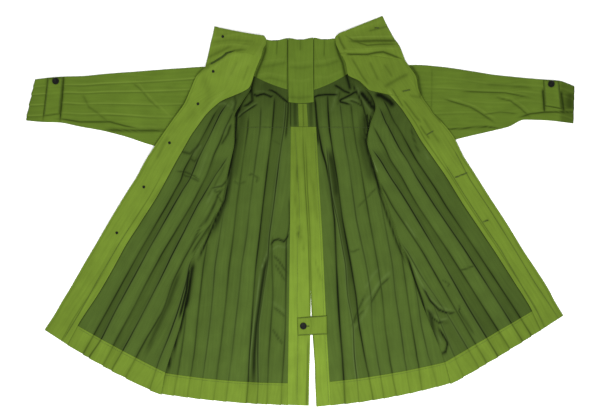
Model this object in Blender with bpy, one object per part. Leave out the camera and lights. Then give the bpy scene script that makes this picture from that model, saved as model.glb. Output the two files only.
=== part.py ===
# Pleated coat, laid open on its back with the inside up.
# The collar points to +Y, the hem to -Y, and the cloth rests on z = 0.
# Table lengths are in millimetres, so each is multiplied by MM.

import bpy
import numpy as np

MM = 0.001

# Cloth and seams
WALL = 1.2                # wall of one layer of cloth
GAP = 0.3                 # between pieces at a seam, and between layers
RIDGE = 1.8               # rise of a pressed pleat over its valley
FLAP = 3.0                # rise of the deepest pleats
REST = 0.4                # share of a front that ramps down from its fold to the floor

# Buttons
BUTTON_R = 9.2
BUTTON_THICK = 3.2
BACK_R = 3.8
BACK_THICK = 1.8
FACE_THICK = 2.0
FINE = 8                  # finer steps, in which heights under a button are read

LIGHT = ((0.19, 0.30, 0.030, 1.0), 0.55)      # outer side of the cloth
DARK = ((0.09, 0.145, 0.030, 1.0), 0.65)      # inner side of the cloth
BLACK = ((0.012, 0.012, 0.012, 1.0), 0.4)     # buttons

# Each panel is a fan of sections. A section runs from the panel's inner end to its outer end.
# Back sections: centre x, centre y, side x, side y, bow. Bow pushes the middle towards the hem.
BACK_LEFT_SECTIONS = [
    (7.8, 473, -91, 470, 0),
    (7.8, 444, -96, 444, 0),
    (7.8, 411, -118, 411, 0),
    (7.8, 378, -203, 378, 0),
    (7.8, 339, -212, 339, 0),
    (7.8, 301, -221, 301, 0),
    (8, 232, -235, 238, 0),
    (12, 169, -249, 174, 0),
    (16, 73, -264, 86, 0),
    (21, -10, -286, -2, 0),
    (25, -92, -316, -81, 2),
    (28, -175, -344, -156, 4),
    (29, -252, -352, -230, 8),
    (28, -340, -374, -312, 12),
    (26, -431, -396, -392, 14),
    (25, -472, -396, -440, 10),
    (24, -533, -396, -499, 8),
]
BACK_RIGHT_SECTIONS = [
    (8.2, 473, 94, 474, 0),
    (8.2, 444, 104, 444, 0),
    (8.2, 411, 126, 411, 0),
    (8.2, 378, 225, 378, 0),
    (8.2, 339, 234, 339, 0),
    (8.2, 301, 243, 301, 0),
    (8.4, 232, 258, 235, 0),
    (12.4, 169, 274, 169, 0),
    (16.4, 73, 283, 86, 0),
    (21.4, -10, 305, 4, 0),
    (25.4, -92, 330, -73, 2),
    (28.4, -175, 358, -156, 4),
    (31, -252, 382, -222, 6),
    (35, -340, 407, -304, 9),
    (41, -431, 429, -370, 10),
    (42, -472, 440, -400, 11),
    (45, -536, 434, -461, 15),
]
CHEST_ROW = 6             # section at the top of the vent facing
MIDDLE_ROW = 9
WAIST_ROW = 12            # section where the vent opens
HEM_ROW = 15              # section along the top of the hem facing
BACK_FADE = (5, 8)        # pleats are pressed flat above, full below

# Folds: share of the section at the chest, the middle, the waist and the hem, and rise.
BACK_LEFT_FOLDS = [
    (0.000, 0.000, 0.000, 0.000, 0),
    (0.136, 0.150, 0.157, 0.131, 0),
    (0.160, 0.190, 0.179, 0.172, 0),
    (0.185, 0.262, 0.274, 0.261, 0.6),
    (0.198, 0.288, 0.345, 0.312, 0),
    (0.211, 0.314, 0.373, 0.337, FLAP),
    (0.343, 0.409, 0.425, 0.404, 0),
    (0.482, 0.526, 0.522, 0.511, RIDGE),
    (0.627, 0.644, 0.615, 0.591, 0),
    (0.750, 0.775, 0.712, 0.683, RIDGE),
    (0.850, 0.870, 0.802, 0.759, 0),
    (0.930, 0.940, 0.890, 0.848, 1.0),
    (1.000, 1.000, 1.000, 1.000, 0),
]
BACK_RIGHT_FOLDS = [
    (0.000, 0.000, 0.000, 0.000, 0),
    (0.143, 0.133, 0.107, 0.092, 0),
    (0.180, 0.255, 0.208, 0.195, 0),
    (0.235, 0.290, 0.282, 0.290, FLAP),
    (0.275, 0.335, 0.352, 0.382, 0),
    (0.434, 0.465, 0.470, 0.464, RIDGE),
    (0.550, 0.593, 0.557, 0.550, 0),
    (0.690, 0.734, 0.662, 0.635, RIDGE),
    (0.800, 0.840, 0.755, 0.727, 0),
    (0.900, 0.920, 0.850, 0.836, 1.0),
    (1.000, 1.000, 1.000, 1.000, 0),
]
VENT_EDGE = 1             # the fold along the vent facing's outer edge

# Front sections: side fold x, y, front edge x, y, bow, lift at the side, lift past it,
# and the facing's inner edge as a share of the section.
FRONT_LEFT_SECTIONS = [
    (-107, 425, -258, 398, -29, 9.0, 8.0, 0.00),
    (-124, 383, -283, 372, -8, 9.0, 8.0, 0.00),
    (-135, 342, -300, 334, 0, 9.0, 8.0, 0.02),
    (-162, 298, -316, 298, 0, 8.5, 8.0, 0.40),
    (-182, 257, -349, 251, 0, 8.0, 8.0, 0.51),
    (-182, 196, -385, 199, 0, 8.0, 8.0, 0.61),
    (-195, 128, -424, 139, 0, 6.5, 6.0, 0.64),
    (-204, 86, -448, 95, 0, 5.0, 3.5, 0.66),
    (-214, 31, -473, 56, 0, 4.2, 2.8, 0.676),
    (-258, -59, -520, -21, 0, 4.2, 2.8, 0.695),
    (-300, -142, -558, -87, 0, 4.2, 2.8, 0.715),
    (-311, -216, -591, -142, 0, 4.2, 0.8, 0.735),
    (-330, -312, -632, -213, 0, 4.2, 0.0, 0.765),
    (-352, -381, -654, -249, 2, 4.2, 0.0, 0.785),
    (-371, -442, -671, -279, 4, 4.2, 0.0, 0.798),
    (-382, -504, -701, -325, 9, 4.2, 0.0, 0.800),
]
FRONT_RIGHT_SECTIONS = [
    (113, 433, 287, 416, -8, 9.0, 5.4, 0.00),
    (126, 405, 300, 397, 0, 9.0, 5.4, 0.00),
    (132, 375, 319, 367, 0, 9.0, 5.4, 0.00),
    (160, 359, 324, 339, 0, 8.0, 5.4, 0.01),
    (184, 334, 341, 304, 0, 7.5, 5.4, 0.04),
    (201, 312, 355, 286, 0, 7.0, 5.4, 0.40),
    (209, 284, 366, 269, 0, 7.0, 5.4, 0.47),
    (195, 240, 388, 246, 0, 7.0, 5.4, 0.57),
    (187, 191, 421, 205, 0, 7.0, 5.4, 0.61),
    (206, 128, 448, 152, 0, 6.0, 4.0, 0.67),
    (223, 67, 478, 106, 0, 4.6, 1.0, 0.705),
    (250, -10, 522, 37, 0, 4.6, 0.0, 0.722),
    (278, -92, 572, -40, 0, 4.6, 0.0, 0.748),
    (305, -161, 616, -112, 0, 4.6, 0.0, 0.770),
    (330, -235, 660, -178, 0, 4.6, 0.0, 0.780),
    (360, -312, 685, -219, 0, 4.6, 0.0, 0.794),
    (399, -414, 696, -241, 0, 4.6, 0.0, 0.807),
    (415, -474, 723, -286, 4, 4.6, 0.0, 0.800),
]
# Front folds: share of the section under the arm, at the hip and at the hem, and rise.
FRONT_LEFT_FOLDS = [
    (0.000, 0.000, 0.000, 0.8),
    (0.020, 0.060, 0.120, RIDGE),
    (0.045, 0.147, 0.285, 0),
    (0.100, 0.275, 0.410, FLAP),
    (0.217, 0.387, 0.500, 0),
    (0.400, 0.515, 0.610, RIDGE),
    (0.480, 0.588, 0.670, 0),
    (0.660, 0.735, 0.800, 0),
    (1.000, 1.000, 1.000, 0),
]
FRONT_RIGHT_FOLDS = [
    (0.000, 0.000, 0.000, 0.8),
    (0.012, 0.025, 0.115, 0),
    (0.025, 0.080, 0.240, RIDGE),
    (0.040, 0.180, 0.330, 0),
    (0.060, 0.305, 0.430, FLAP),
    (0.190, 0.400, 0.510, 0),
    (0.375, 0.540, 0.625, RIDGE),
    (0.494, 0.630, 0.705, 0),
    (0.680, 0.770, 0.800, 0),
    (1.000, 1.000, 1.000, 0),
]
LEFT_STATIONS = (6, 11, 15)
RIGHT_STATIONS = (9, 13, 17)
LEFT_FADE = (4, 7)
RIGHT_FADE = (6, 9)
FACING_COLUMNS = 7        # a collar end has as many, so the two meet along the neck seam
NECK_TUCK = 3.0           # the front stops this far short of its facing at the neck seam

# Collar ends: roll x, y, tip x, y, bow, lift at the roll, lift at the tip, rise of the crease.
COLLAR_LEFT_SECTIONS = [
    (-96, 480, -234, 507, 0, 5.5, 2.7, 0),
    (-96, 463, -242, 471, -4, 6.5, 2.9, 1.2),
    (-102, 448, -250, 436, -12, 8.0, 4.5, 0),
    (-107, 425.6, -258, 398.6, -29, 9.0, 8.0, 1.0),
]
COLLAR_RIGHT_SECTIONS = [
    (102, 482, 226, 536, 0, 5.5, 0.4, 0.4),
    (108, 474, 241, 506, 0, 6.0, 0.6, 2.4),
    (111, 464, 258, 475, 0, 7.0, 1.5, 0.4),
    (113, 451, 272, 455, -3, 8.0, 3.0, 2.4),
    (113, 433.6, 287, 416.6, -8, 9.0, 5.4, 0.4),
]
COLLAR_WALL = 2.7         # outer cloth and facing of the collar, sewn together

# Sleeve sections, cuff to armhole: upper edge x, y, lower edge x, y.
SLEEVE_LEFT_SECTIONS = [
    (-727, 365, -753, 248),
    (-693, 369, -707, 244),
    (-650, 372, -663, 243),
    (-600, 373, -605, 232),
    (-536, 379, -544, 221),
    (-468, 384, -481, 205),
    (-393, 390, -418, 184),
    (-324, 392, -363, 169),
    (-258, 391, -308, 156),
    (-203, 385, -255.7, 147),
]
SLEEVE_RIGHT_SECTIONS = [
    (754, 346, 751, 240),
    (711, 361, 722, 244),
    (668, 364, 676, 248),
    (605, 370, 600, 244),
    (536, 376, 522, 221),
    (468, 387, 462, 207),
    (385, 394, 377, 183),
    (316, 392, 327, 166),
    (225.3, 378, 279, 152),
]
# Sleeve folds: share of the section at the cuff, elbow and armhole, and rise.
SLEEVE_FOLDS = [
    (0.03, 0.02, 0.02, 0.0),
    (0.15, 0.16, 0.17, 1.1),
    (0.30, 0.30, 0.31, 0.1),
    (0.42, 0.42, 0.43, 1.1),
    (0.54, 0.54, 0.54, 0.1),
    (0.68, 0.66, 0.66, 1.1),
    (0.80, 0.80, 0.80, 0.1),
    (0.90, 0.90, 0.90, 0.6),
    (0.97, 0.98, 0.98, 0.0),
]
SLEEVE_HOLLOW = 0.6       # clear space between the sleeve's two layers
TAB_ROWS = (1, 2)         # sleeve sections at the cuff tab's edges
TAB_LAST_FOLD = 7         # sleeve fold where the cuff tab ends

# Pieces over the back. Sections run from the middle outwards: x, y, outer x, y, bow.
NECK_LEFT_SECTIONS = [
    (-33, 476, -91, 470, 0),
    (-33, 438, -99, 438, 0),
    (-33, 398, -126, 404, 0),
    (-33, 335, -142, 381, 4),
]
NECK_RIGHT_SECTIONS = [
    (37, 477, 95, 474, 0),
    (37, 438, 106, 438, 0),
    (37, 398, 131, 404, 0),
    (37, 334, 136, 382, 4),
]
NECK_COLUMNS = 5
BOX_PLEAT_SECTIONS = [
    (-32, 476, 36, 477, 1),
    (-32, 400, 36, 400, 1),
    (-31, 301, 37, 301, 3),
]
BOX_WALL = 2.4            # the box pleat is folded, so it is thicker
CENTRE_STRIP_SECTIONS = [(-5, 296, 18, 296, 0), (-3, 233, 22, 233, 0)]

VENT_TAB_SECTIONS = [(-8, -292, 74, -286, 0), (-6, -341, 75, -337, 0)]

# Button centres
FRONT_BUTTONS = [(-212, 480), (-238, 384), (-280, 295), (-358, 188), (-429, 67), (-503, -59)]
LEFT_CUFF_BUTTON = (-671, 358)
RIGHT_CUFF_BUTTON = (690, 350)
VENT_BUTTON = (9, -315)


def clear_scene():
    for old in list(bpy.data.objects):
        bpy.data.objects.remove(old, do_unlink=True)


def cloth_material(name, finish):
    colour, roughness = finish
    material = bpy.data.materials.new(name)
    material.use_nodes = True
    shader = material.node_tree.nodes["Principled BSDF"]
    shader.inputs["Base Color"].default_value = colour
    shader.inputs["Roughness"].default_value = roughness
    shader.inputs["Metallic"].default_value = 0.0
    material.diffuse_color = colour
    return material


def add_piece(name, verts, faces, finish):
    """Puts a closed mesh, given in millimetres, into the scene."""
    mesh = bpy.data.meshes.new(name)
    mesh.from_pydata((np.asarray(verts, float) * MM).tolist(), [], faces)
    mesh.materials.append(cloth_material(name, finish))
    mesh.validate()
    piece = bpy.data.objects.new(name, mesh)
    bpy.context.scene.collection.objects.link(piece)
    return piece


def fold_shares(folds, stations, rows):
    """Share of the section at which each fold lies, one row for each section."""
    row_numbers = np.arange(rows)
    return np.array([np.interp(row_numbers, stations, fold[:-1]) for fold in folds]).T


def plan(sections, shares):
    """Plan x and y of the points at the given shares of every section."""
    s = np.array([row[:5] for row in sections], float)
    start, end, bow = s[:, None, 0:2], s[:, None, 2:4], s[:, 4:5]
    chord = end - start
    length = np.linalg.norm(chord, axis=2)
    across = np.stack([-chord[..., 1], chord[..., 0]], axis=2) / length[..., None]
    across *= np.where(across[..., 1:2] > 0, -1, 1)        # towards the hem
    push = (4 * bow * shares * (1 - shares))[..., None]
    xy = start + chord * shares[..., None] + across * push
    return xy[..., 0], xy[..., 1]


def relief(folds, all_shares, shares, fade):
    """Rise of the pleats, read between the folds along each section."""
    rises = np.array([fold[-1] for fold in folds])
    rows = len(shares)
    strength = np.interp(np.arange(rows), fade, (0.0, 1.0))
    across = [np.interp(shares[i], all_shares[i], rises) for i in range(rows)]
    return np.array(across) * strength[:, None]


def front_lift(sections, shares):
    """Height of a front's underside: high at its side fold, then down to what it lies on."""
    s = np.array(sections, float)
    ramp = np.clip(1 - shares / REST, 0, 1)
    return s[:, 6:7] + (s[:, 5:6] - s[:, 6:7]) * ramp


def add_sheet(name, x, y, under, top, finish):
    """Closed wall between two grids that share their plan."""
    rows, columns = x.shape
    count = rows * columns
    verts = np.concatenate([
        np.stack([x, y, top], axis=2).reshape(-1, 3),
        np.stack([x, y, under], axis=2).reshape(-1, 3),
    ])
    number = np.arange(count).reshape(rows, columns)
    a, b = number[:-1, :-1].ravel(), number[:-1, 1:].ravel()
    c, d = number[1:, 1:].ravel(), number[1:, :-1].ravel()
    ring = np.concatenate([number[0, :-1], number[:-1, -1], number[-1, :0:-1], number[:0:-1, 0]])
    after = np.roll(ring, -1)
    upper = np.stack([a, b, c, d], axis=1)
    lower = np.stack([d, c, b, a], axis=1) + count
    rim = np.stack([ring, ring + count, after + count, after], axis=1)
    faces = np.concatenate([upper, lower, rim])
    corner = [(x[0, 0], y[0, 0]), (x[0, 1], y[0, 1]), (x[1, 1], y[1, 1])]
    turn = np.cross(np.subtract(corner[1], corner[0]), np.subtract(corner[2], corner[1]))
    if turn < 0:
        faces = faces[:, ::-1]
    return add_piece(name, verts, faces.tolist(), finish)


def add_back(side, sections, folds):
    """One half of the back. Returns its grid for the pieces that lie on it."""
    stations = (CHEST_ROW, MIDDLE_ROW, WAIST_ROW, len(sections) - 1)
    shares = fold_shares(folds, stations, len(sections))
    x, y = plan(sections, shares)
    top = WALL + relief(folds, shares, shares, BACK_FADE)
    add_sheet("back_" + side, x, y, np.zeros_like(x), top, DARK)
    return x, y, top


def add_vent_facing(side, x, y, top):
    """Strip along the centre-back edge, laid on the back's points."""
    rows, columns = slice(CHEST_ROW, None), slice(0, VENT_EDGE + 1)
    under = top[rows, columns] + GAP
    add_sheet("vent_facing_" + side, x[rows, columns], y[rows, columns], under, under + WALL, LIGHT)


def add_back_hem(side, x, y, top):
    """Hem facing of the back, from the vent facing to the side."""
    rows, columns = slice(HEM_ROW, None), slice(VENT_EDGE, None)
    hem_x, hem_y = x[rows, columns].copy(), y[rows, columns].copy()
    hem_x[:, 0] += np.sign(hem_x[:, 1] - hem_x[:, 0]) * GAP
    under = top[rows, columns] + GAP
    add_sheet("hem_facing_back_" + side, hem_x, hem_y, under, under + WALL, LIGHT)


def add_front(side, sections, folds, stations, fade):
    """A front, its facing along the opening edge and its hem facing."""
    facing_edge = np.array(sections)[:, 7:8]
    shares = fold_shares(folds, stations, len(sections))
    shares[:, -2:-1] = np.maximum(facing_edge, shares[:, -3:-2] + 0.03)

    def layer(at):
        x, y = plan(sections, at)
        return x, y, front_lift(sections, at), relief(folds, shares, at, fade)

    x, y, lift, rise = layer(shares)
    y[0] -= NECK_TUCK
    front = x, y, lift, lift + WALL + rise
    add_sheet("front_" + side, *front, DARK)

    steps = np.linspace(0, 1, FACING_COLUMNS)[None, :]
    facing_shares = facing_edge + (1 - facing_edge) * steps
    x, y, lift, rise = layer(facing_shares)
    under = lift + WALL + rise + GAP
    facing = x, y, under, under + WALL
    add_sheet("front_facing_" + side, *facing, LIGHT)

    hem_shares = shares[:, :-1].copy()
    hem_shares[:, -1:] = facing_edge - 0.002
    x, y, lift, rise = layer(hem_shares)
    under = (lift + WALL + rise + GAP)[-2:]
    add_sheet("hem_facing_front_" + side, x[-2:], y[-2:], under, under + WALL, LIGHT)
    return front, facing


def add_collar_end(side, sections):
    """A collar end turned out over the shoulder, with its lengthwise creases."""
    s = np.array(sections, float)
    shares = np.tile(np.linspace(0, 1, FACING_COLUMNS), (len(s), 1))
    x, y = plan(sections, shares)
    under = s[:, 5:6] + (s[:, 6:7] - s[:, 5:6]) * shares
    top = under + COLLAR_WALL + s[:, 7:8] * np.sin(np.pi * (0.15 + 0.7 * shares))
    add_sheet("collar_" + side, x, y, under, top, LIGHT)
    return x, y, under, top


def sleeve_ring(section, shares, rises):
    """Outer and inner points of a flattened sleeve at one section."""
    start, end = np.array(section[:2], float), np.array(section[2:], float)
    hollow_top = WALL + SLEEVE_HOLLOW
    outer_top = hollow_top + WALL + rises
    inset = WALL * 2 / np.linalg.norm(end - start)
    inner = inset + (1 - 2 * inset) * shares

    def points(at, z):
        xy = start + (end - start) * at[:, None]
        return np.column_stack([xy, z])

    edge = np.array([0.0, 1.0])
    half = hollow_top / 2 + WALL / 2
    outer = np.concatenate([
        points(edge[:1], np.array([half])),
        points(shares, outer_top),
        points(edge[1:], np.array([half])),
        points(shares[::-1], np.zeros(len(shares))),
    ])
    ceiling = outer_top - WALL
    hollow = np.concatenate([
        points(inner[:1] - inset / 2, np.array([hollow_top - SLEEVE_HOLLOW / 2])),
        points(inner, np.maximum(ceiling, hollow_top)),
        points(inner[-1:] + inset / 2, np.array([hollow_top - SLEEVE_HOLLOW / 2])),
        points(inner[::-1], np.full(len(inner), WALL)),
    ])
    return outer, hollow


def add_sleeve(side, sections):
    """A flattened sleeve: a wall all round, open at the cuff and at the armhole."""
    rows = len(sections)
    stations = (0, rows // 2, rows - 1)
    shares = fold_shares(SLEEVE_FOLDS, stations, rows)
    rises = np.array([fold[-1] for fold in SLEEVE_FOLDS])
    rings = [sleeve_ring(sections[i], shares[i], rises) for i in range(rows)]
    outer = np.array([ring[0] for ring in rings])
    hollow = np.array([ring[1] for ring in rings])
    count = outer.shape[1]
    verts = np.concatenate([outer.reshape(-1, 3), hollow.reshape(-1, 3)])
    shift = rows * count
    faces = []
    for i in range(rows - 1):
        for j in range(count):
            k = (j + 1) % count
            quad = [i * count + j, i * count + k, (i + 1) * count + k, (i + 1) * count + j]
            faces.append(quad)
            faces.append([n + shift for n in reversed(quad)])
    for i, forward in ((0, True), (rows - 1, False)):
        for j in range(count):
            k = (j + 1) % count
            quad = [i * count + j, i * count + j + shift, i * count + k + shift, i * count + k]
            faces.append(quad if forward else quad[::-1])
    if sections[0][0] > 0:
        faces = [face[::-1] for face in faces]
    add_piece("sleeve_" + side, verts, faces, LIGHT)
    top = outer[:, 1:1 + len(SLEEVE_FOLDS)]
    return top[..., 0], top[..., 1], top[..., 2]


def add_cuff_tab(side, x, y, top):
    """Tab laid over the pleats of the sleeve near its cuff."""
    rows = slice(TAB_ROWS[0], TAB_ROWS[1] + 1)
    columns = slice(0, TAB_LAST_FOLD)
    under = top[rows, columns] + GAP
    tab = x[rows, columns], y[rows, columns], under, under + WALL
    add_sheet("cuff_tab_" + side, *tab, LIGHT)
    return tab


def add_flat(name, sections, columns, under, wall):
    """A flat piece at one height, given by its sections."""
    shares = np.tile(np.linspace(0, 1, columns), (len(sections), 1))
    x, y = plan(sections, shares)
    base = np.full_like(x, under)
    add_sheet(name, x, y, base, base + wall, LIGHT)


def add_turned(name, centre, profile, under, sides):
    """Turned piece: profile points (radius, height) run from the top's middle to the foot."""
    angles = np.linspace(0, 2 * np.pi, sides, endpoint=False)
    verts = [(centre[0], centre[1], under + profile[0][1])]
    for radius, height in profile[1:]:
        ring = [(centre[0] + radius * np.cos(a), centre[1] + radius * np.sin(a), under + height)
                for a in angles]
        verts.extend(ring)
    faces = []
    rings = len(profile) - 1
    for j in range(sides):
        k = (j + 1) % sides
        faces.append([0, 1 + j, 1 + k])
        for i in range(rings - 1):
            faces.append([1 + i * sides + j, 1 + (i + 1) * sides + j,
                          1 + (i + 1) * sides + k, 1 + i * sides + k])
    faces.append([1 + (rings - 1) * sides + j for j in reversed(range(sides))])
    piece = add_piece(name, verts, faces, BLACK)
    piece.data.shade_smooth()
    piece.data.set_sharp_from_angle(angle=np.radians(35))
    return piece


def add_button(name, centre, under):
    """Sew-through button with a raised rim."""
    r, t = BUTTON_R, BUTTON_THICK
    profile = [(0, t * 0.7), (r * 0.6, t * 0.7), (r * 0.74, t), (r * 0.9, t),
               (r, t * 0.7), (r, t * 0.3), (r * 0.85, 0)]
    add_turned(name, centre, profile, under, 20)


def span_at(grid, centre, radius):
    """Lowest underside and highest top of a piece under a disc at a plan point."""
    fine = []
    for values in grid:
        rows, columns = values.shape
        at_columns = np.linspace(0, columns - 1, columns * FINE)
        at_rows = np.linspace(0, rows - 1, rows * FINE)
        wide = np.array([np.interp(at_columns, np.arange(columns), row) for row in values])
        fine.append(np.array([np.interp(at_rows, np.arange(rows), column) for column in wide.T]))
    x, y, under, top = fine
    inside = (x - centre[0]) ** 2 + (y - centre[1]) ** 2 < radius ** 2
    return under[inside].min(), top[inside].max()


def add_front_buttons(collar, front, facing):
    """Buttons of the left front: a small back on the facing, a flat face under the cloth."""
    back = [(0, BACK_THICK), (BACK_R * 0.8, BACK_THICK), (BACK_R, BACK_THICK * 0.6), (BACK_R, 0)]
    face = [(0, FACE_THICK), (BUTTON_R, FACE_THICK), (BUTTON_R, 0)]
    for i, centre in enumerate(FRONT_BUTTONS, start=1):
        carrier, cover = (collar, collar) if i == 1 else (front, facing)
        seat = span_at(cover, centre, BACK_R + FINE)[1] + GAP
        add_turned(f"button_back_{i}", centre, back, seat, 12)
        roof = span_at(carrier, centre, BUTTON_R + FINE)[0] - GAP
        if roof > FACE_THICK:
            add_turned(f"button_face_{i}", centre, face, roof - FACE_THICK, 16)


def build():
    clear_scene()
    for side, sections, folds in (("left", BACK_LEFT_SECTIONS, BACK_LEFT_FOLDS),
                                  ("right", BACK_RIGHT_SECTIONS, BACK_RIGHT_FOLDS)):
        x, y, top = add_back(side, sections, folds)
        add_vent_facing(side, x, y, top)
        add_back_hem(side, x, y, top)
    front, facing = add_front("left", FRONT_LEFT_SECTIONS, FRONT_LEFT_FOLDS, LEFT_STATIONS, LEFT_FADE)
    add_front("right", FRONT_RIGHT_SECTIONS, FRONT_RIGHT_FOLDS, RIGHT_STATIONS, RIGHT_FADE)
    collar = add_collar_end("left", COLLAR_LEFT_SECTIONS)
    add_collar_end("right", COLLAR_RIGHT_SECTIONS)
    add_front_buttons(collar, front, facing)

    for side, sections, centre in (("left", SLEEVE_LEFT_SECTIONS, LEFT_CUFF_BUTTON),
                                   ("right", SLEEVE_RIGHT_SECTIONS, RIGHT_CUFF_BUTTON)):
        tab = add_cuff_tab(side, *add_sleeve(side, sections))
        seat = span_at(tab, centre, BUTTON_R)[1] + GAP
        add_button("cuff_button_" + side, centre, seat)

    on_back = WALL + GAP
    add_flat("neck_facing_left", NECK_LEFT_SECTIONS, NECK_COLUMNS, on_back, WALL)
    add_flat("neck_facing_right", NECK_RIGHT_SECTIONS, NECK_COLUMNS, on_back, WALL)
    add_flat("neck_box_pleat", BOX_PLEAT_SECTIONS, NECK_COLUMNS, on_back, BOX_WALL)
    add_flat("centre_strip", CENTRE_STRIP_SECTIONS, 2, on_back, WALL)
    on_facing = on_back + WALL + GAP
    add_flat("vent_tab", VENT_TAB_SECTIONS, 2, on_facing, WALL)
    add_button("vent_button", VENT_BUTTON, on_facing + WALL + GAP)


build()
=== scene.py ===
import bpy
import numpy as np
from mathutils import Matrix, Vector


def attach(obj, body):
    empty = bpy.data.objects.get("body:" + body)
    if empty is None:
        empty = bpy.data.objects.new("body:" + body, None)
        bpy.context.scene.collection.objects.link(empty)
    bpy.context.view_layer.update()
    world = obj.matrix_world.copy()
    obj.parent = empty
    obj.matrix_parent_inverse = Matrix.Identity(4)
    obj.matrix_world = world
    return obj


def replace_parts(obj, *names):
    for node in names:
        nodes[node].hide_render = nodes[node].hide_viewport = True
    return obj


# Pleated coat laid open on its back, seen from straight above. Tables are in millimetres:
# x to the right, y towards the collar, z up from the floor.
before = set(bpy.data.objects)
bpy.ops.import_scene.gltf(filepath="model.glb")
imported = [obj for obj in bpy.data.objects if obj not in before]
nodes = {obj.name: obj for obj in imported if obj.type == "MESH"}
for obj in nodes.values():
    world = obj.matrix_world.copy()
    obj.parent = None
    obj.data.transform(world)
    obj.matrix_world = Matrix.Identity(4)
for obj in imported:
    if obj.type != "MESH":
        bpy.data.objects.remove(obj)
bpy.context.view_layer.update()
mm = 0.001
ridge = 1.8             # rise of a pressed pleat
flap = 3.0              # rise of the deepest pleats
clothWall = 0.5         # one layer of the shell
layerStep = 0.95        # from the top of one layer to the top of the next
floorGap = 0.15         # lowest underside of any cloth
backTop = 1.5           # top of the backs between their pleats
frontTop = 1.3          # top of the fronts, above what they lie on
deepestCrease = 0.9     # how far a crease may go down into a panel
sewnAbove = 0.12        # middle of a stitch above its cloth
hemTops = {}


def easeThrough(knots, values, at):
    # cubic between neighbouring rows, slope there = harmonic mean of the two chords, so no overshoot
    knots, values = np.asarray(knots, float), np.asarray(values, float)
    gap = np.diff(knots)[:, None]
    chord = np.diff(values, axis=0) / gap
    product = chord[:-1] * chord[1:]
    total = np.where(product > 0, chord[:-1] + chord[1:], 1.0)
    inner = np.where(product > 0, 2 * product / total, 0.0)
    slope = np.concatenate([chord[:1], inner, chord[-1:]])
    at = np.clip(at, knots[0], knots[-1])
    k = np.clip(np.searchsorted(knots, at, side="right") - 1, 0, len(knots) - 2)
    t = ((at - knots[k]) / gap[k, 0])[:, None]
    a, b = values[k], values[k + 1]
    da, db = slope[k] * gap[k], slope[k + 1] * gap[k]
    return (a * (1 + 2 * t) * (1 - t) ** 2 + da * t * (1 - t) ** 2
            + b * t ** 2 * (3 - 2 * t) + db * t ** 2 * (t - 1))


def smoothStep(value, low, high):
    t = np.clip((value - low) / (high - low), 0, 1)
    return t * t * (3 - 2 * t)


def fineRows(sections, step):
    # row numbers a step apart on the line through the sections' middles, whole sections kept
    s = np.array([row[:4] for row in sections], float)
    middle = (s[:, 0:2] + s[:, 2:4]) / 2
    gaps = np.linalg.norm(np.diff(middle, axis=0), axis=1)
    steps = np.broadcast_to(np.asarray(step, float), gaps.shape)
    counts = np.maximum(2, np.round(gaps / steps)).astype(int)
    parts = [i + np.arange(n) / n for i, n in enumerate(counts)]
    return np.concatenate(parts + [[len(s) - 1.0]])


def sectionValues(sections, first, last, rows):
    # the sections' numbers from first up to last, eased from section to section
    return easeThrough(np.arange(len(sections)), [row[first:last] for row in sections], rows)


def planAt(sections, rows, shares):
    # start + (end - start) * share, pushed towards the hem by 4 * bow * share * (1 - share)
    s = sectionValues(sections, 0, 5, rows)
    start, end, bow = s[:, None, 0:2], s[:, None, 2:4], s[:, 4:5]
    chord = end - start
    length = np.linalg.norm(chord, axis=2)
    across = np.stack([-chord[..., 1], chord[..., 0]], axis=2) / length[..., None]
    across *= np.where(across[..., 1:2] > 0, -1, 1)
    xy = start + chord * shares[..., None] + across * (4 * bow * shares * (1 - shares))[..., None]
    return xy[..., 0], xy[..., 1], length[:, 0]


def faceSteps(count):
    # shares across one pleat face, crowded towards its two folds
    t = np.linspace(0, 1, count + 1)[:-1]
    return t - 0.62 * np.sin(2 * np.pi * t) / (2 * np.pi)


def between(ends, t):
    # straight from each column of ends to the next one, t of the way there, then the last column
    inside = ends[:, :-1, None] * (1 - t) + ends[:, 1:, None] * t
    return np.concatenate([inside.reshape(len(ends), -1), ends[:, -1:]], axis=1)


def crossingShares(sections, rows, line, tests=160):
    # share of each row where it crosses a line running down the cloth: the side of the line is
    # tested along the row, and the change of sign is placed between two tests
    points = np.array(line, float)
    ahead, behind = points[0] - points[1], points[-1] - points[-2]
    points = np.vstack([points[0] + 12 * ahead, points, points[-1] + 12 * behind])[::-1]
    test = np.tile(np.linspace(0, 1, tests + 1), (len(rows), 1))
    x, y, spans = planAt(sections, rows, test)
    side = x - np.interp(y, points[:, 1], points[:, 0])
    side *= np.sign(x[:, -1:] - x[:, :1])
    passed = (side > 0).argmax(axis=1)
    passed = np.where((side > 0).any(axis=1), passed, tests)
    pick = np.arange(len(rows))
    before, after = side[pick, np.maximum(passed - 1, 0)], side[pick, passed]
    gap = np.where(after == before, 1, after - before)
    part = np.where(passed > 0, np.clip(-before / gap, 0, 1), 0)
    share = np.clip((passed - 1 + part) / tests, 0, 1)
    padded = np.pad(share, 4, mode="edge")
    return np.convolve(padded, np.ones(9) / 9, mode="valid")


def foldShares(panel, rows, ends, least=0.004):
    # borders and folds in order across the row, kept at least a small share apart
    sections = panel["sections"]
    lines = [crossingShares(sections, rows, fold[6]) for fold in panel["folds"]]
    at = np.stack([np.zeros(len(rows))] + lines + ends, axis=1)
    apart = least * np.arange(at.shape[1])
    at = np.maximum.accumulate(at - apart, axis=1) + apart
    apart = apart[::-1]
    at = np.minimum.accumulate((at + apart)[:, ::-1], axis=1)[:, ::-1] - apart
    limit = ends[0][:, None] if len(ends) > 1 else 1.0
    inside = slice(1, len(lines) + 1)
    at[:, inside] = np.minimum(at[:, inside], limit - least * np.arange(len(lines), 0, -1))
    return np.clip(at, 0, 1)


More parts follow.
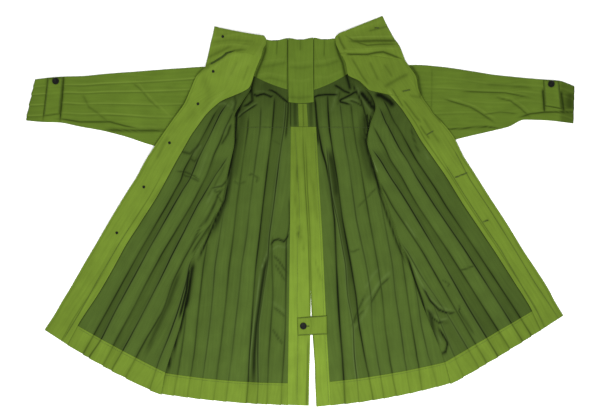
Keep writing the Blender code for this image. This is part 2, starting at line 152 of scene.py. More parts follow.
def hemSteps(panel, rows, at):
    # each pleat face ends a little lower at one side than at the other
    t = faceSteps(panel["faceColumns"])
    lower = np.tile(panel["hemStep"] * (t - 0.5), (len(rows), at.shape[1] - 1))
    lower = np.concatenate([lower, lower[:, -1:]], axis=1)
    return lower * smoothStep(rows, rows[-1] - 0.8, rows[-1])[:, None]


def faceColumns(panel, at):
    return between(at, faceSteps(panel["faceColumns"]))


def alongFolds(panel, rows, at, high, low):
    # 0 above a fold's upper end, 1 below it
    count = len(panel["folds"])
    x, y, spans = planAt(panel["sections"], rows, at[:, 1:count + 1])
    tops = np.array([fold[5] for fold in panel["folds"]], float)
    return 1 - smoothStep(y, tops - low, tops + high)


faceBulge = {"height": 0.3, "uneven": 0.22, "fullAt": 30, "most": 1.7}    # fullAt: face width, mm


def pleatRise(panel, rows, at, spans):
    # straight faces between the folds' rises, each bulged a little, uneven along the length
    count = len(panel["folds"])
    rises = np.array([fold[0] for fold in panel["folds"]], float)
    t = faceSteps(panel["faceColumns"])
    rng = np.random.default_rng(panel["seed"])
    phase = rng.uniform(0, 2 * np.pi, (3, at.shape[1]))
    pace = rng.uniform(0.6, 2.6, (3, at.shape[1]))
    along = np.linspace(0, 2 * np.pi, len(rows))[:, None, None]
    drift = np.sin(along * pace + phase).sum(axis=1) / 3
    strength = alongFolds(panel, rows, at, 20, 45)
    high = np.zeros_like(at)
    high[:, 1:count + 1] = rises * (1 + panel["uneven"] * drift[:, 1:count + 1]) * strength
    high[:, 0] = panel["borderRise"]
    wide = spans[:, None] * np.diff(at, axis=1)
    bulge = faceBulge["height"] + faceBulge["uneven"] * drift[:, 1:]
    bulge = bulge * np.clip(wide / faceBulge["fullAt"], 0, faceBulge["most"])
    z = between(high, t)
    z[:, :-1] += (bulge[:, :, None] * 4 * t * (1 - t)).reshape(len(rows), -1)
    return z


foldLook = {
    "softShare": 0.24, "softWider": 3.4,    # part of the painted shade that is soft, and how much wider it is
    "paleOff": 2.4, "paleWidth": 1.3,       # painted highlight beside the fold
    "toneHalf": 2.2,                        # half the width over which the painted light-and-shade tone changes
    "fadeRows": (10.5, 13.5),               # sections between which the fading of the painted tone sets in
}


def foldMarks(panel, rows, at, shares, spans):
    # painted shade of a fold = strength * exp(-(distance / width) squared), a painted highlight a little to
    # each side, and each face's painted light-and-shade tone, changing over a few millimetres at the folds
    # and fading down the panel
    count = len(panel["folds"])
    facts = np.array([fold[1:5] for fold in panel["folds"]], float)
    reach = (shares[:, :, None] - at[:, None, 1:count + 1]) * spans[:, None, None]
    rng = np.random.default_rng(panel["seed"] + 7)
    phase = rng.uniform(0, 2 * np.pi, (2, count))
    along = np.linspace(0, 2 * np.pi, len(rows))[:, None, None]
    drift = np.sin(along * np.array([[2.3], [5.1]]) + phase).sum(axis=1) / 2
    reachRows = alongFolds(panel, rows, at, 14, 14)
    force = facts[:, 0] * (1 + 0.3 * drift) * reachRows
    sharp, soft = [np.exp(-(reach / (wider * facts[:, 1])) ** 2) for wider in (1, foldLook["softWider"])]
    dark = (force[:, None, :] * (sharp + foldLook["softShare"] * (soft - sharp))).max(axis=2)
    highlight = facts[:, 2] * (1 + 0.4 * drift) * reachRows
    beside = np.exp(-((np.abs(reach) - foldLook["paleOff"]) / foldLook["paleWidth"]) ** 2)
    light = (highlight[:, None, :] * beside).max(axis=2)
    fade = panel["shadingFade"] * smoothStep(rows, *foldLook["fadeRows"])[:, None]
    toneStep = (facts[:, 3] - 1) * reachRows * (1 - fade)
    change = np.diff(np.concatenate([np.zeros((len(rows), 1)), toneStep], axis=1), axis=1)
    passed = smoothStep(reach, -foldLook["toneHalf"], foldLook["toneHalf"])
    tone = 1 + (change[:, None, :] * passed).sum(axis=2)
    return dark, light, tone


creaseLook = {"softShare": 0.22, "softWider": 2.6, "narrower": 0.8, "taper": 0.2}


def creaseField(x, y, creases):
    # crease = (rise, dark, width, lean, points): height rise * exp(-(distance / width) squared), a painted
    # shade mark the same way but lean to the left of the line, fading at both ends; below 0 the mark is a
    # painted highlight
    lift, dark, light = np.zeros_like(x), np.zeros_like(x), np.zeros_like(x)
    for rise, mark, width, lean, points in creases:
        line = np.array(points, float)
        near = (x > line[:, 0].min() - 4 * width) & (x < line[:, 0].max() + 4 * width)
        near &= (y > line[:, 1].min() - 4 * width) & (y < line[:, 1].max() + 4 * width)
        px, py = x[near], y[near]
        lengths = np.linalg.norm(np.diff(line, axis=0), axis=1)
        before = np.concatenate([[0], np.cumsum(lengths)])
        nearest, signed, place = np.full_like(px, 1e9), np.zeros_like(px), np.zeros_like(px)
        for i, length in enumerate(lengths):
            along = (line[i + 1] - line[i]) / length
            dx, dy = px - line[i, 0], py - line[i, 1]
            t = np.clip(dx * along[0] + dy * along[1], 0, length)
            gap = np.hypot(dx - t * along[0], dy - t * along[1])
            closer = gap < nearest
            side = np.sign(along[0] * dy - along[1] * dx)
            nearest = np.where(closer, gap, nearest)
            signed = np.where(closer, gap * side, signed)
            place = np.where(closer, before[i] + t, place)
        share = place / before[-1]
        taper = smoothStep(share, 0, creaseLook["taper"])
        taper = taper * (1 - smoothStep(share, 1 - creaseLook["taper"], 1))
        lift[near] += rise * np.exp(-(signed / width) ** 2) * taper
        off = (signed - lean) / (creaseLook["narrower"] * width)
        sharp, soft = np.exp(-off ** 2), np.exp(-(off / creaseLook["softWider"]) ** 2)
        paintedMark = abs(mark) * (sharp + creaseLook["softShare"] * (soft - sharp)) * taper
        target = dark if mark > 0 else light
        target[near] = np.maximum(target[near], paintedMark)
    return lift, dark, light


def softLoft(x, y, seed, size, amount):
    # sum of sines in random directions, as soft unevenness of cloth that lies loose
    rng = np.random.default_rng(seed)
    angle = rng.uniform(0, np.pi, 9)
    length = size * rng.uniform(0.6, 1.8, 9)
    phase = rng.uniform(0, 2 * np.pi, 9)
    wave = (x[..., None] * np.cos(angle) + y[..., None] * np.sin(angle)) * 2 * np.pi / length + phase
    return amount * np.sin(wave).sum(axis=-1) / 3


def turnUnder(grid, side, radius, tuck, steps=5):
    # a folded edge: half a circle outwards and down, then straight back underneath as far as the tuck
    grid = [np.array(part) for part in grid]
    flip = side in ("firstColumn", "firstRow")
    if side in ("firstRow", "lastRow"):
        grid = [part.T for part in grid]
    if flip:
        grid = [part[:, ::-1] for part in grid]
    x, y, z = grid[:3]
    out = np.stack([x[:, -1] - x[:, -2], y[:, -1] - y[:, -2]])
    out = out / np.maximum(np.linalg.norm(out, axis=0), 1e-6)
    turn = np.linspace(0, np.pi, steps + 1)[1:]
    radius = np.broadcast_to(np.asarray(radius, float), x[:, -1].shape)
    away = np.concatenate([radius[:, None] * np.sin(turn), -np.full((len(radius), 1), float(tuck))], axis=1)
    down = np.concatenate([radius[:, None] * (1 - np.cos(turn)), 2 * radius[:, None]], axis=1)
    more = [x[:, -1:] + out[0][:, None] * away, y[:, -1:] + out[1][:, None] * away, z[:, -1:] - down]
    more += [np.repeat(part[:, -1:], steps + 1, axis=1) for part in grid[3:]]
    grid = [np.concatenate([part, extra], axis=1) for part, extra in zip(grid, more)]
    if flip:
        grid = [part[:, ::-1] for part in grid]
    if side in ("firstRow", "lastRow"):
        grid = [part.T for part in grid]
    return grid


def toLinear(hexColour):
    c = np.array([int(hexColour[i:i + 2], 16) for i in (1, 3, 5)]) / 255
    linear = np.where(c <= 0.04045, c / 12.92, ((c + 0.055) / 1.055) ** 2.4)
    return (*linear.tolist(), 1.0)


def feed(tree, target, value):
    # another node's output is linked, a plain value is set
    if isinstance(value, bpy.types.NodeSocket):
        tree.links.new(target, value)
    else:
        target.default_value = value


def addNode(tree, kind, settings):
    # settings: the node's own property, or an input by its name or number -> value or output
    node = tree.nodes.new(kind)
    for key, value in settings.items():
        if isinstance(key, str) and hasattr(node, key):
            setattr(node, key, value)
        else:
            feed(tree, node.inputs[key], value)
    return node


def mixColours(tree, factor, first, second, blend="MIX"):
    node = addNode(tree, "ShaderNodeMix", {"data_type": "RGBA", "blend_type": blend, "clamp_factor": True})
    targets = [node.inputs["Factor"]] + [socket for socket in node.inputs if socket.type == "RGBA"]
    for target, value in zip(targets, (factor, first, second)):
        feed(tree, target, value)
    return next(socket for socket in node.outputs if socket.type == "RGBA")


def objectPlace(tree):
    return addNode(tree, "ShaderNodeTexCoord", {}).outputs["Object"]


def noiseAt(tree, place, scale, detail):
    settings = {"Scale": scale, "Detail": detail, "Vector": place}
    return addNode(tree, "ShaderNodeTexNoise", settings).outputs["Fac"]


def waveAt(tree, place, direction, scale, distortion):
    settings = {"bands_direction": direction, "Scale": scale, "Distortion": distortion, "Vector": place}
    return addNode(tree, "ShaderNodeTexWave", settings).outputs["Fac"]


def spread(tree, value, low, high, fromLow=0.3, fromHigh=0.7):
    # from a noise texture's usual range, or the one given, to low and high
    settings = {"From Min": fromLow, "From Max": fromHigh, "To Min": low, "To Max": high, "Value": value}
    return addNode(tree, "ShaderNodeMapRange", settings).outputs["Result"]


def combine(tree, operation, first, second):
    return addNode(tree, "ShaderNodeMath", {"operation": operation, 0: first, 1: second}).outputs[0]


def field(tree, name):
    return addNode(tree, "ShaderNodeAttribute", {"attribute_name": name}).outputs["Fac"]


def shaded(tree, base, grey):
    tone = addNode(tree, "ShaderNodeCombineColor", {"Red": grey, "Green": grey, "Blue": grey})
    return mixColours(tree, 1.0, toLinear(base), tone.outputs["Color"], "MULTIPLY")


def bump(tree, height, strength, distance):
    settings = {"Strength": strength, "Distance": distance, "Height": height}
    return addNode(tree, "ShaderNodeBump", settings).outputs["Normal"]


def newMaterial(name):
    material = bpy.data.materials.new(name)
    material.use_nodes = True
    return material, material.node_tree


def finish(material, settings):
    tree = material.node_tree
    for key, value in settings.items():
        feed(tree, tree.nodes["Principled BSDF"].inputs[key], value)
    return material


clothFinish = {
    "threadMm": 1.1,            # real threads are 0.12 mm apart: drawn coarse enough to show close up
    "mottleMm": 55.0,           # soft cloudiness left by pressing
    "streakMm": 6.0,            # faint streaks along the pleats
    "streakStretch": 0.06,
    "patchy": 0.07,             # how far cloudiness and streaks change the tone
    "grain": 420.0,
    "bump": 0.16, "bumpDepth": 0.0004,
    "roughness": (0.66, 0.8),
    "ior": 1.5, "specular": 0.04,
}


def wovenCloth(name, base, shadeColour, highlight, highlightAmount):
    # plain-woven polyester taffeta, heat-set into pleats: an even, dry, slightly silky face, with painted
    # shade down in its creases and a painted highlight where an edge is pressed
    material, tree = newMaterial(name)
    place = objectPlace(tree)
    cloth = addNode(tree, "ShaderNodeUVMap", {"uv_map": "cloth"}).outputs["UV"]
    low, high = 1 - clothFinish["patchy"], 1 + clothFinish["patchy"]
    cloud = spread(tree, noiseAt(tree, place, 1000 / clothFinish["mottleMm"], 3.0), low, high)
    stretch = {"Scale": (1.0, clothFinish["streakStretch"], 1.0), "Vector": cloth}
    drawnOut = addNode(tree, "ShaderNodeMapping", stretch).outputs["Vector"]
    streak = spread(tree, noiseAt(tree, drawnOut, 1000 / clothFinish["streakMm"], 2.0), low, high)
    patchy = combine(tree, "MULTIPLY", cloud, streak)
    # painted light and shade: the mesh's tone times random cloudiness and streaks
    colour = shaded(tree, base, combine(tree, "MULTIPLY", patchy, field(tree, "tone")))
    # painted highlight: mixed towards the highlight colour
    highlightMix = combine(tree, "MULTIPLY", field(tree, "paintedHighlight"), highlightAmount)
    colour = mixColours(tree, highlightMix, colour, toLinear(highlight))
    # painted shade: mixed towards the shade colour down in creases and folds
    colour = mixColours(tree, field(tree, "paintedShade"), colour, toLinear(shadeColour))
    # over-and-under threads: one wave across, one along, multiplied
    across, along = [waveAt(tree, cloth, way, 50 / clothFinish["threadMm"], 0.6) for way in ("X", "Y")]
    grain = noiseAt(tree, place, clothFinish["grain"], 4.0)
    height = combine(tree, "ADD", combine(tree, "MULTIPLY", across, along), grain)
    return finish(material, {
        "Base Color": colour,
        "Normal": bump(tree, height, clothFinish["bump"], clothFinish["bumpDepth"]),
        "Roughness": spread(tree, grain, *clothFinish["roughness"]),
        "IOR": clothFinish["ior"],
        "Specular IOR Level": clothFinish["specular"],
    })


def spunThread(name, base):
    # twisted polyester sewing thread: matt, with a fine slanting twist
    material, tree = newMaterial(name)
    twist = waveAt(tree, objectPlace(tree), "DIAGONAL", 900.0, 0.5)
    colour = shaded(tree, base, spread(tree, twist, 0.8, 1.1, 0, 1))
    return finish(material, {"Base Color": colour, "Roughness": 0.75, "IOR": 1.5})


def mouldedButton(name, base):
    # cast polyester resin button: near black, evenly tumbled to a dull gloss with fine scuffs
    material, tree = newMaterial(name)
    place = objectPlace(tree)
    colour = shaded(tree, base, spread(tree, noiseAt(tree, place, 260.0, 3.0), 0.8, 1.25))
    scuff = noiseAt(tree, place, 1800.0, 2.0)
    return finish(material, {
        "Base Color": colour,
        "Normal": bump(tree, scuff, 0.1, 0.0002),
        "Roughness": spread(tree, scuff, 0.34, 0.54, 0, 1),
        "IOR": 1.55,
        "Specular IOR Level": 0.08,
    })


# each taffeta: base colour, painted shade colour, painted highlight colour, highlight strength
facingCloth = wovenCloth("taffeta_facing", "#53671f", "#0a1400", "#718637", 0.5)
outerCloth = wovenCloth("taffeta_outside", "#4d621d", "#0a1400", "#6c8034", 0.5)
innerCloth = wovenCloth("taffeta_inside", "#38491a", "#030700", "#586b3b", 0.6)
greenThread = spunThread("thread_green", "#33440f")
darkThread = spunThread("thread_dark", "#1c2312")
blackButton = mouldedButton("resin_button", "#050604")
faceMaterials = {
    "facing": (facingCloth, innerCloth),
    "outside": (outerCloth, innerCloth),
    "inside": (innerCloth, outerCloth),
}
print("materials ready")


def gridQuads(rows, columns, ring=False):
    number = np.arange(rows * columns).reshape(rows, columns)
    if ring:
        number = np.concatenate([number, number[:, :1]], axis=1)
    corners = [number[:-1, :-1], number[:-1, 1:], number[1:, 1:], number[1:, :-1]]
    return np.stack(corners, axis=-1).reshape(-1, 4)


def putMesh(name, verts, quads, materials):
    # a smooth mesh of quads, verts in millimetres, riding on the coat's one body
    mesh = bpy.data.meshes.new(name)
    mesh.vertices.add(len(verts))
    mesh.vertices.foreach_set("co", np.ascontiguousarray(verts * mm, dtype=np.float32).ravel())
    mesh.loops.add(quads.size)
    mesh.loops.foreach_set("vertex_index", quads.astype(np.int32).ravel())
    mesh.polygons.add(len(quads))
    mesh.polygons.foreach_set("loop_start", np.arange(0, quads.size, 4, dtype=np.int32))
    mesh.polygons.foreach_set("use_smooth", np.ones(len(quads), bool))
    for material in materials:
        mesh.materials.append(material)
    mesh.update(calc_edges=True)
    mesh.validate()
    piece = bpy.data.objects.new(name, mesh)
    bpy.context.scene.collection.objects.link(piece)
    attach(piece, "root")
    return piece


def putField(mesh, name, values):
    layer = mesh.attributes.new(name, "FLOAT", "POINT")
    layer.data.foreach_set("value", np.ascontiguousarray(values, dtype=np.float32).ravel())


def runAlong(x, y, axis):
    # distance run from the first row (axis 0) or the first column (axis 1)
    run = np.hypot(np.diff(x, axis=axis), np.diff(y, axis=axis)).cumsum(axis=axis)
    return np.insert(run, 0, 0, axis=axis)


def layCloth(name, grid, face, node, wall=clothWall, ring=False):
    # grid = x, y, z, painted shade, painted highlight, painted light-and-shade tone; faces are turned so that
    # the grid's upper side looks up
    x, y, z, paintedShade, paintedHighlight, tone = grid
    rows, columns = x.shape
    verts = np.stack([x, y, np.maximum(z, floorGap + wall)], axis=-1).reshape(-1, 3)
    quads = gridQuads(rows, columns, ring)
    i, j = rows // 2, columns // 3
    stepX, stepY = [np.array([part[i, j + 1], part[i + 1, j]]) - part[i, j] for part in (x, y)]
    if stepX[0] * stepY[1] < stepY[0] * stepX[1]:
        quads = quads[:, ::-1]
    piece = putMesh(name + "_cloth", verts, quads, faceMaterials[face])
    mesh = piece.data
    across = runAlong(x, y, 1)
    across -= across[:, columns // 2][:, None]
    flat = np.stack([across, runAlong(x, y, 0)], axis=-1).reshape(-1, 2) * mm
    layer = mesh.uv_layers.new(name="cloth")
    layer.data.foreach_set("uv", np.ascontiguousarray(flat[quads.ravel()], dtype=np.float32).ravel())
    # painted shade, painted highlight and painted light-and-shade tone, read by the cloth's material
    putField(mesh, "paintedShade", np.clip(1.25 * paintedShade, 0, 0.97))
    putField(mesh, "paintedHighlight", np.clip(paintedHighlight, 0, 1))
    putField(mesh, "tone", np.clip(tone, 0.2, 1.6))
    if wall:
        shell = piece.modifiers.new("cloth wall", "SOLIDIFY")
        shell.thickness = wall * mm
        shell.offset = -1
        shell.material_offset = 1
        shell.material_offset_rim = 0
    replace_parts(piece, node)


stitch = {
    "pitch": 3.4, "length": 2.5,
    "along": (-0.5, -0.32, 0.32, 0.5),      # four rings of points, as shares of the length
    "rise": (-0.12, 0.26, 0.26, -0.12),     # height of each ring
    "side": (-0.3, 0.0, 0.3, 0.0),          # points round a ring, sideways and up
    "up": (0.0, 0.22, 0.0, -0.132),
}


def stitchRow(x, y, z, pitch=stitch["pitch"], length=stitch["length"]):
    # points and faces of short raised stitches, each a small hump, a pitch apart along the path
    path = np.stack([x, y, z], axis=1)
    run = np.insert(np.linalg.norm(np.diff(path, axis=0), axis=1).cumsum(), 0, 0)
    places = np.arange(pitch / 2, run[-1] - pitch / 2, pitch)
    centre = np.stack([np.interp(places, run, part) for part in path.T], axis=1)
    along = np.stack([np.interp(places + 0.5, run, part) for part in path.T], axis=1) - centre
    along /= np.linalg.norm(along, axis=1)[:, None]
    side = np.stack([-along[:, 1], along[:, 0], 0 * places], axis=1)
    side /= np.linalg.norm(side, axis=1)[:, None]
    rings, rise, sideways, up = [np.array(stitch[key]) for key in ("along", "rise", "side", "up")]
    points = (centre[:, None, None, :]
              + along[:, None, None, :] * (rings * length)[None, :, None, None]
              + side[:, None, None, :] * sideways[None, None, :, None]
              + np.array([0, 0, 1.0]) * (rise[None, :, None, None] + up[None, None, :, None]))
    one = np.concatenate([gridQuads(4, 4, ring=True), [[3, 2, 1, 0], [12, 13, 14, 15]]])
    quads = (one + 16 * np.arange(len(places))[:, None, None]).reshape(-1, 4)[:, ::-1]
    return points.reshape(-1, 3), quads


def joinRows(name, rows, thread=greenThread):
    # several rows of stitches make one piece
    starts = np.cumsum([0] + [len(points) for points, quads in rows])
    points = np.concatenate([row[0] for row in rows])
    quads = np.concatenate([row[1] + start for row, start in zip(rows, starts)])
    return putMesh(name, points, quads, [thread])


# Sections: centre x, centre y, side x, side y, bow.
# Folds: rise, painted shade, width of the shade, painted highlight beside it, painted light-and-shade tone of
# the face after it, y of the upper end, points. Creases: rise, painted shade (below 0 a painted highlight),
# width, lean of the shade to the line's left, points.
backLeft = {
    "sections": [
        (7.8, 473, -91, 470, 0), (7.8, 444, -96, 444, 0), (7.8, 411, -118, 411, 0),
        (7.8, 378, -203, 378, 0), (7.8, 339, -212, 339, 0), (7.8, 301, -221, 301, 0),
        (8, 232, -235, 238, 0), (12, 169, -249, 174, 0), (16, 73, -264, 86, 0),
        (21, -10, -286, -2, 0), (25, -92, -316, -81, 2), (28, -175, -344, -156, 4),
        (29, -252, -352, -230, 8), (28, -340, -374, -312, 12), (26, -431, -396, -392, 14),
        (25, -472, -396, -440, 10), (24, -533, -396, -499, 8),
    ],
    "folds": [
        (0, 0, 2, 0, 1, 232, [(-25, 232), (-27, -51), (-33, -472), (-34, -532)]),
        (0.6, 0.55, 1.8, 0, 0.96, 31, [(-30, 31), (-29, -40), (-38, -79), (-38, -147), (-39, -230),
            (-40, -312), (-44, -395), (-50, -477), (-52, -532)]),
        (0.5, 0.45, 1.8, 0, 0.9, -73, [(-29, 306), (-32, 141), (-47, 18), (-60, -37), (-77, -73),
            (-77, -147), (-74, -230), (-80, -312), (-86, -395), (-89, -477), (-91, -527)]),
        (flap, 0.6, 1.8, 0.35, 0.8, 306, [(-38, 306), (-40, 265), (-44, 224), (-51, 183), (-57, 141),
            (-72, 18), (-84, -65), (-89, -147), (-102, -230), (-115, -312), (-116, -395), (-115, -477),
            (-118, -527)]),
        (0, 0.75, 1.8, 0, 1.03, 312, [(-70, 312), (-72, 279), (-77, 218), (-87, 141), (-102, 18),
            (-111, -65), (-121, -147), (-128, -230), (-133, -312), (-139, -395), (-143, -477),
            (-148, -527)]),
        (ridge, 0.38, 2.2, 0.1, 0.98, 284, [(-107, 284), (-110, 224), (-122, 141), (-138, 18),
            (-146, -65), (-160, -147), (-168, -230), (-178, -312), (-187, -395), (-198, -477),
            (-204, -521)]),
        (0, 0.45, 2.2, 0, 1.0, 257, [(-142, 257), (-144, 224), (-157, 141), (-174, 18), (-183, -65),
            (-194, -147), (-202, -230), (-211, -312), (-221, -395), (-232, -477), (-238, -519)]),
        (ridge, 0.42, 1.8, 0.15, 0.97, 141, [(-190, 141), (-207, 18), (-220, -65), (-233, -147),
            (-240, -230), (-248, -312), (-258, -395), (-270, -477), (-276, -516)]),
        (0, 0.5, 2, 0, 1.0, -10, [(-245, -10), (-258, -106), (-265, -147), (-275, -230), (-283, -312),
            (-291, -395), (-305, -477), (-311, -513)]),
        (1.0, 0.4, 2, 0, 0.95, -222, [(-309, -222), (-316, -312), (-327, -395), (-342, -477),
            (-348, -505)]),
    ],
    "creases": [
        (1, -0.75, 1.8, 0, [(-82, -79), (-92, -117), (-106, -158), (-116, -216), (-128, -318),
            (-136, -387), (-140, -477)]),
        (0, 0.72, 6, 0, [(-77, -79), (-85, -117), (-98, -161), (-107, -222), (-120, -318), (-126, -395),
            (-129, -505)]),
        (0, 0.8, 6, 0, [(-122, 396), (-130, 362), (-135, 335), (-140, 315)]),
        (-1.0, 0.95, 5.6, 0, [(-138, 350), (-151, 317), (-162, 298), (-168, 279), (-176, 265),
            (-186, 249)]),
        (1.0, -0.35, 2.2, 0, [(-113, 304), (-138, 287), (-160, 272), (-179, 254)]),
        (-0.4, 0.8, 2.6, 0, [(-113, 298), (-138, 282), (-157, 269), (-176, 251)]),
        (-0.3, 0.75, 4.5, 0, [(-134, 360), (-132, 323), (-131, 304), (-143, 294), (-165, 284)]),
        (-0.5, 0.95, 3.2, 0, [(-135, 327), (-118, 317), (-110, 321), (-99, 323), (-88, 319), (-80, 315),
            (-69, 323)]),
        (-0.5, 0.95, 3.2, 0, [(-94, 337), (-77, 332), (-66, 326), (-55, 317), (-44, 308), (-25, 293)]),
        (0.7, -0.15, 2.6, 0, [(-129, 331), (-99, 331), (-72, 320)]),
        (0, 0.62, 9, 0, [(-173, 279), (-173, 224), (-176, 183), (-182, 155), (-187, 128), (-194, 81),
            (-204, 31), (-228, -29), (-258, -92)]),
        (0, 0.92, 4.0, 0, [(-164, 318), (-174, 262), (-178, 196), (-190, 128), (-199, 88), (-206, 60)]),
        (0, 0.85, 3.4, 0, [(-190, 110), (-196, 84), (-206, 31), (-230, -18), (-250, -66), (-287, -150)]),
        (0, 0.35, 16, 0, [(-150, 318), (-160, 262), (-166, 196), (-176, 128), (-196, 60)]),
        (0, 0.6, 4, 0, [(-32, 328), (-33, 273), (-36, 238), (-41, 191)]),
        (0, 0.6, 2.4, 0, [(-26, 312), (-26, 224)]),
        (0, 0.5, 7, 0, [(-14, 312), (-14, 265), (-12, 224)]),
        (-0.2, 0.25, 1.5, 0, [(-198, 231), (-104, 232), (-14, 232)]),
        (-0.6, 0.93, 5, 0, [(-282, -112), (-293, -142), (-301, -188), (-306, -222), (-317, -268),
            (-326, -310), (-348, -378), (-367, -440), (-378, -500)]),
        (0, 0.8, 7, 0, [(-288, -128), (-296, -158), (-302, -200), (-308, -240), (-320, -285)]),
        (1.2, -0.3, 3.4, 0, [(-258, -57), (-283, -106), (-309, -142), (-311, -175), (-322, -216)]),
        (-0.6, 0.78, 3.2, 0, [(-85, -98), (-72, -80), (-60, -76), (-44, -83), (-36, -73), (-29, -54)]),
        (1, -0.3, 3, 0, [(-82, -109), (-63, -95), (-41, -98), (-30, -87)]),
        (-0.5, 0.5, 3, 0, [(-77, -117), (-58, -136), (-41, -161), (-30, -175)]),
        (-0.4, 0.4, 3, 0, [(-72, -139), (-52, -172), (-36, -197)]),
        (-0.3, 0.4, 3, 0, [(-77, -260), (-58, -274), (-33, -296)]),
        (-0.3, 0.4, 3, 0, [(-80, -318), (-63, -343), (-44, -370)]),
        (0.8, -0.2, 4, 0, [(-80, -244), (-60, -260), (-36, -279)]),
        (-0.3, 0.35, 4, 0, [(-146, 97), (-132, 103), (-116, 92), (-121, 75)]),
        (-0.3, 0.3, 4, 0, [(-187, 86), (-168, 75), (-146, 84)]),
        (0.3, 0.15, 3, 2, [(-82, 196), (-66, 188), (-47, 177)]),
        (0, 0.2, 24, 0, [(-104, 361), (-77, 328), (-55, 295)]),
    ],
    "faceColumns": 11, "rowStep": [6] * 3 + [2.3] * 5 + [3.8] * 6 + [5] * 2, "borderRise": 0,
    "uneven": 0.3, "seed": 11, "loft": 0.5,
    "shadingFade": 0, "ventFromRow": 6, "yoke": (-165, -29), "hemFrom": 0.16,
    "ventSeam": [(-13, 215), (-8, 128), (-2, 30), (0, -37), (-6, -79), (-8, -244), (-6, -354),
        (-8, -520)],
    "hemStep": 1.3,
    "ventCreases": [
        (-0.2, 0.4, 1.6, 0, [(-16, 262), (-15, 224), (-10, 128), (-4, 30), (-2, -37), (-8, -79),
            (-10, -244), (-8, -354), (-10, -532), (-10, -600)]),
        (-0.2, 0.5, 1.8, 0, [(24, -330), (21, -450), (18, -560)]),
        (0, 0.5, 1.6, 0, [(6, 250), (14, 73), (23, -65), (27, -216), (27, -330)]),
        (0.4, 0.2, 3, 2, [(-20, 60), (-6, -20), (4, -80)]),
        (0.4, 0.2, 3, 2, [(-16, -20), (0, -70), (12, -120)]),
    ],
}
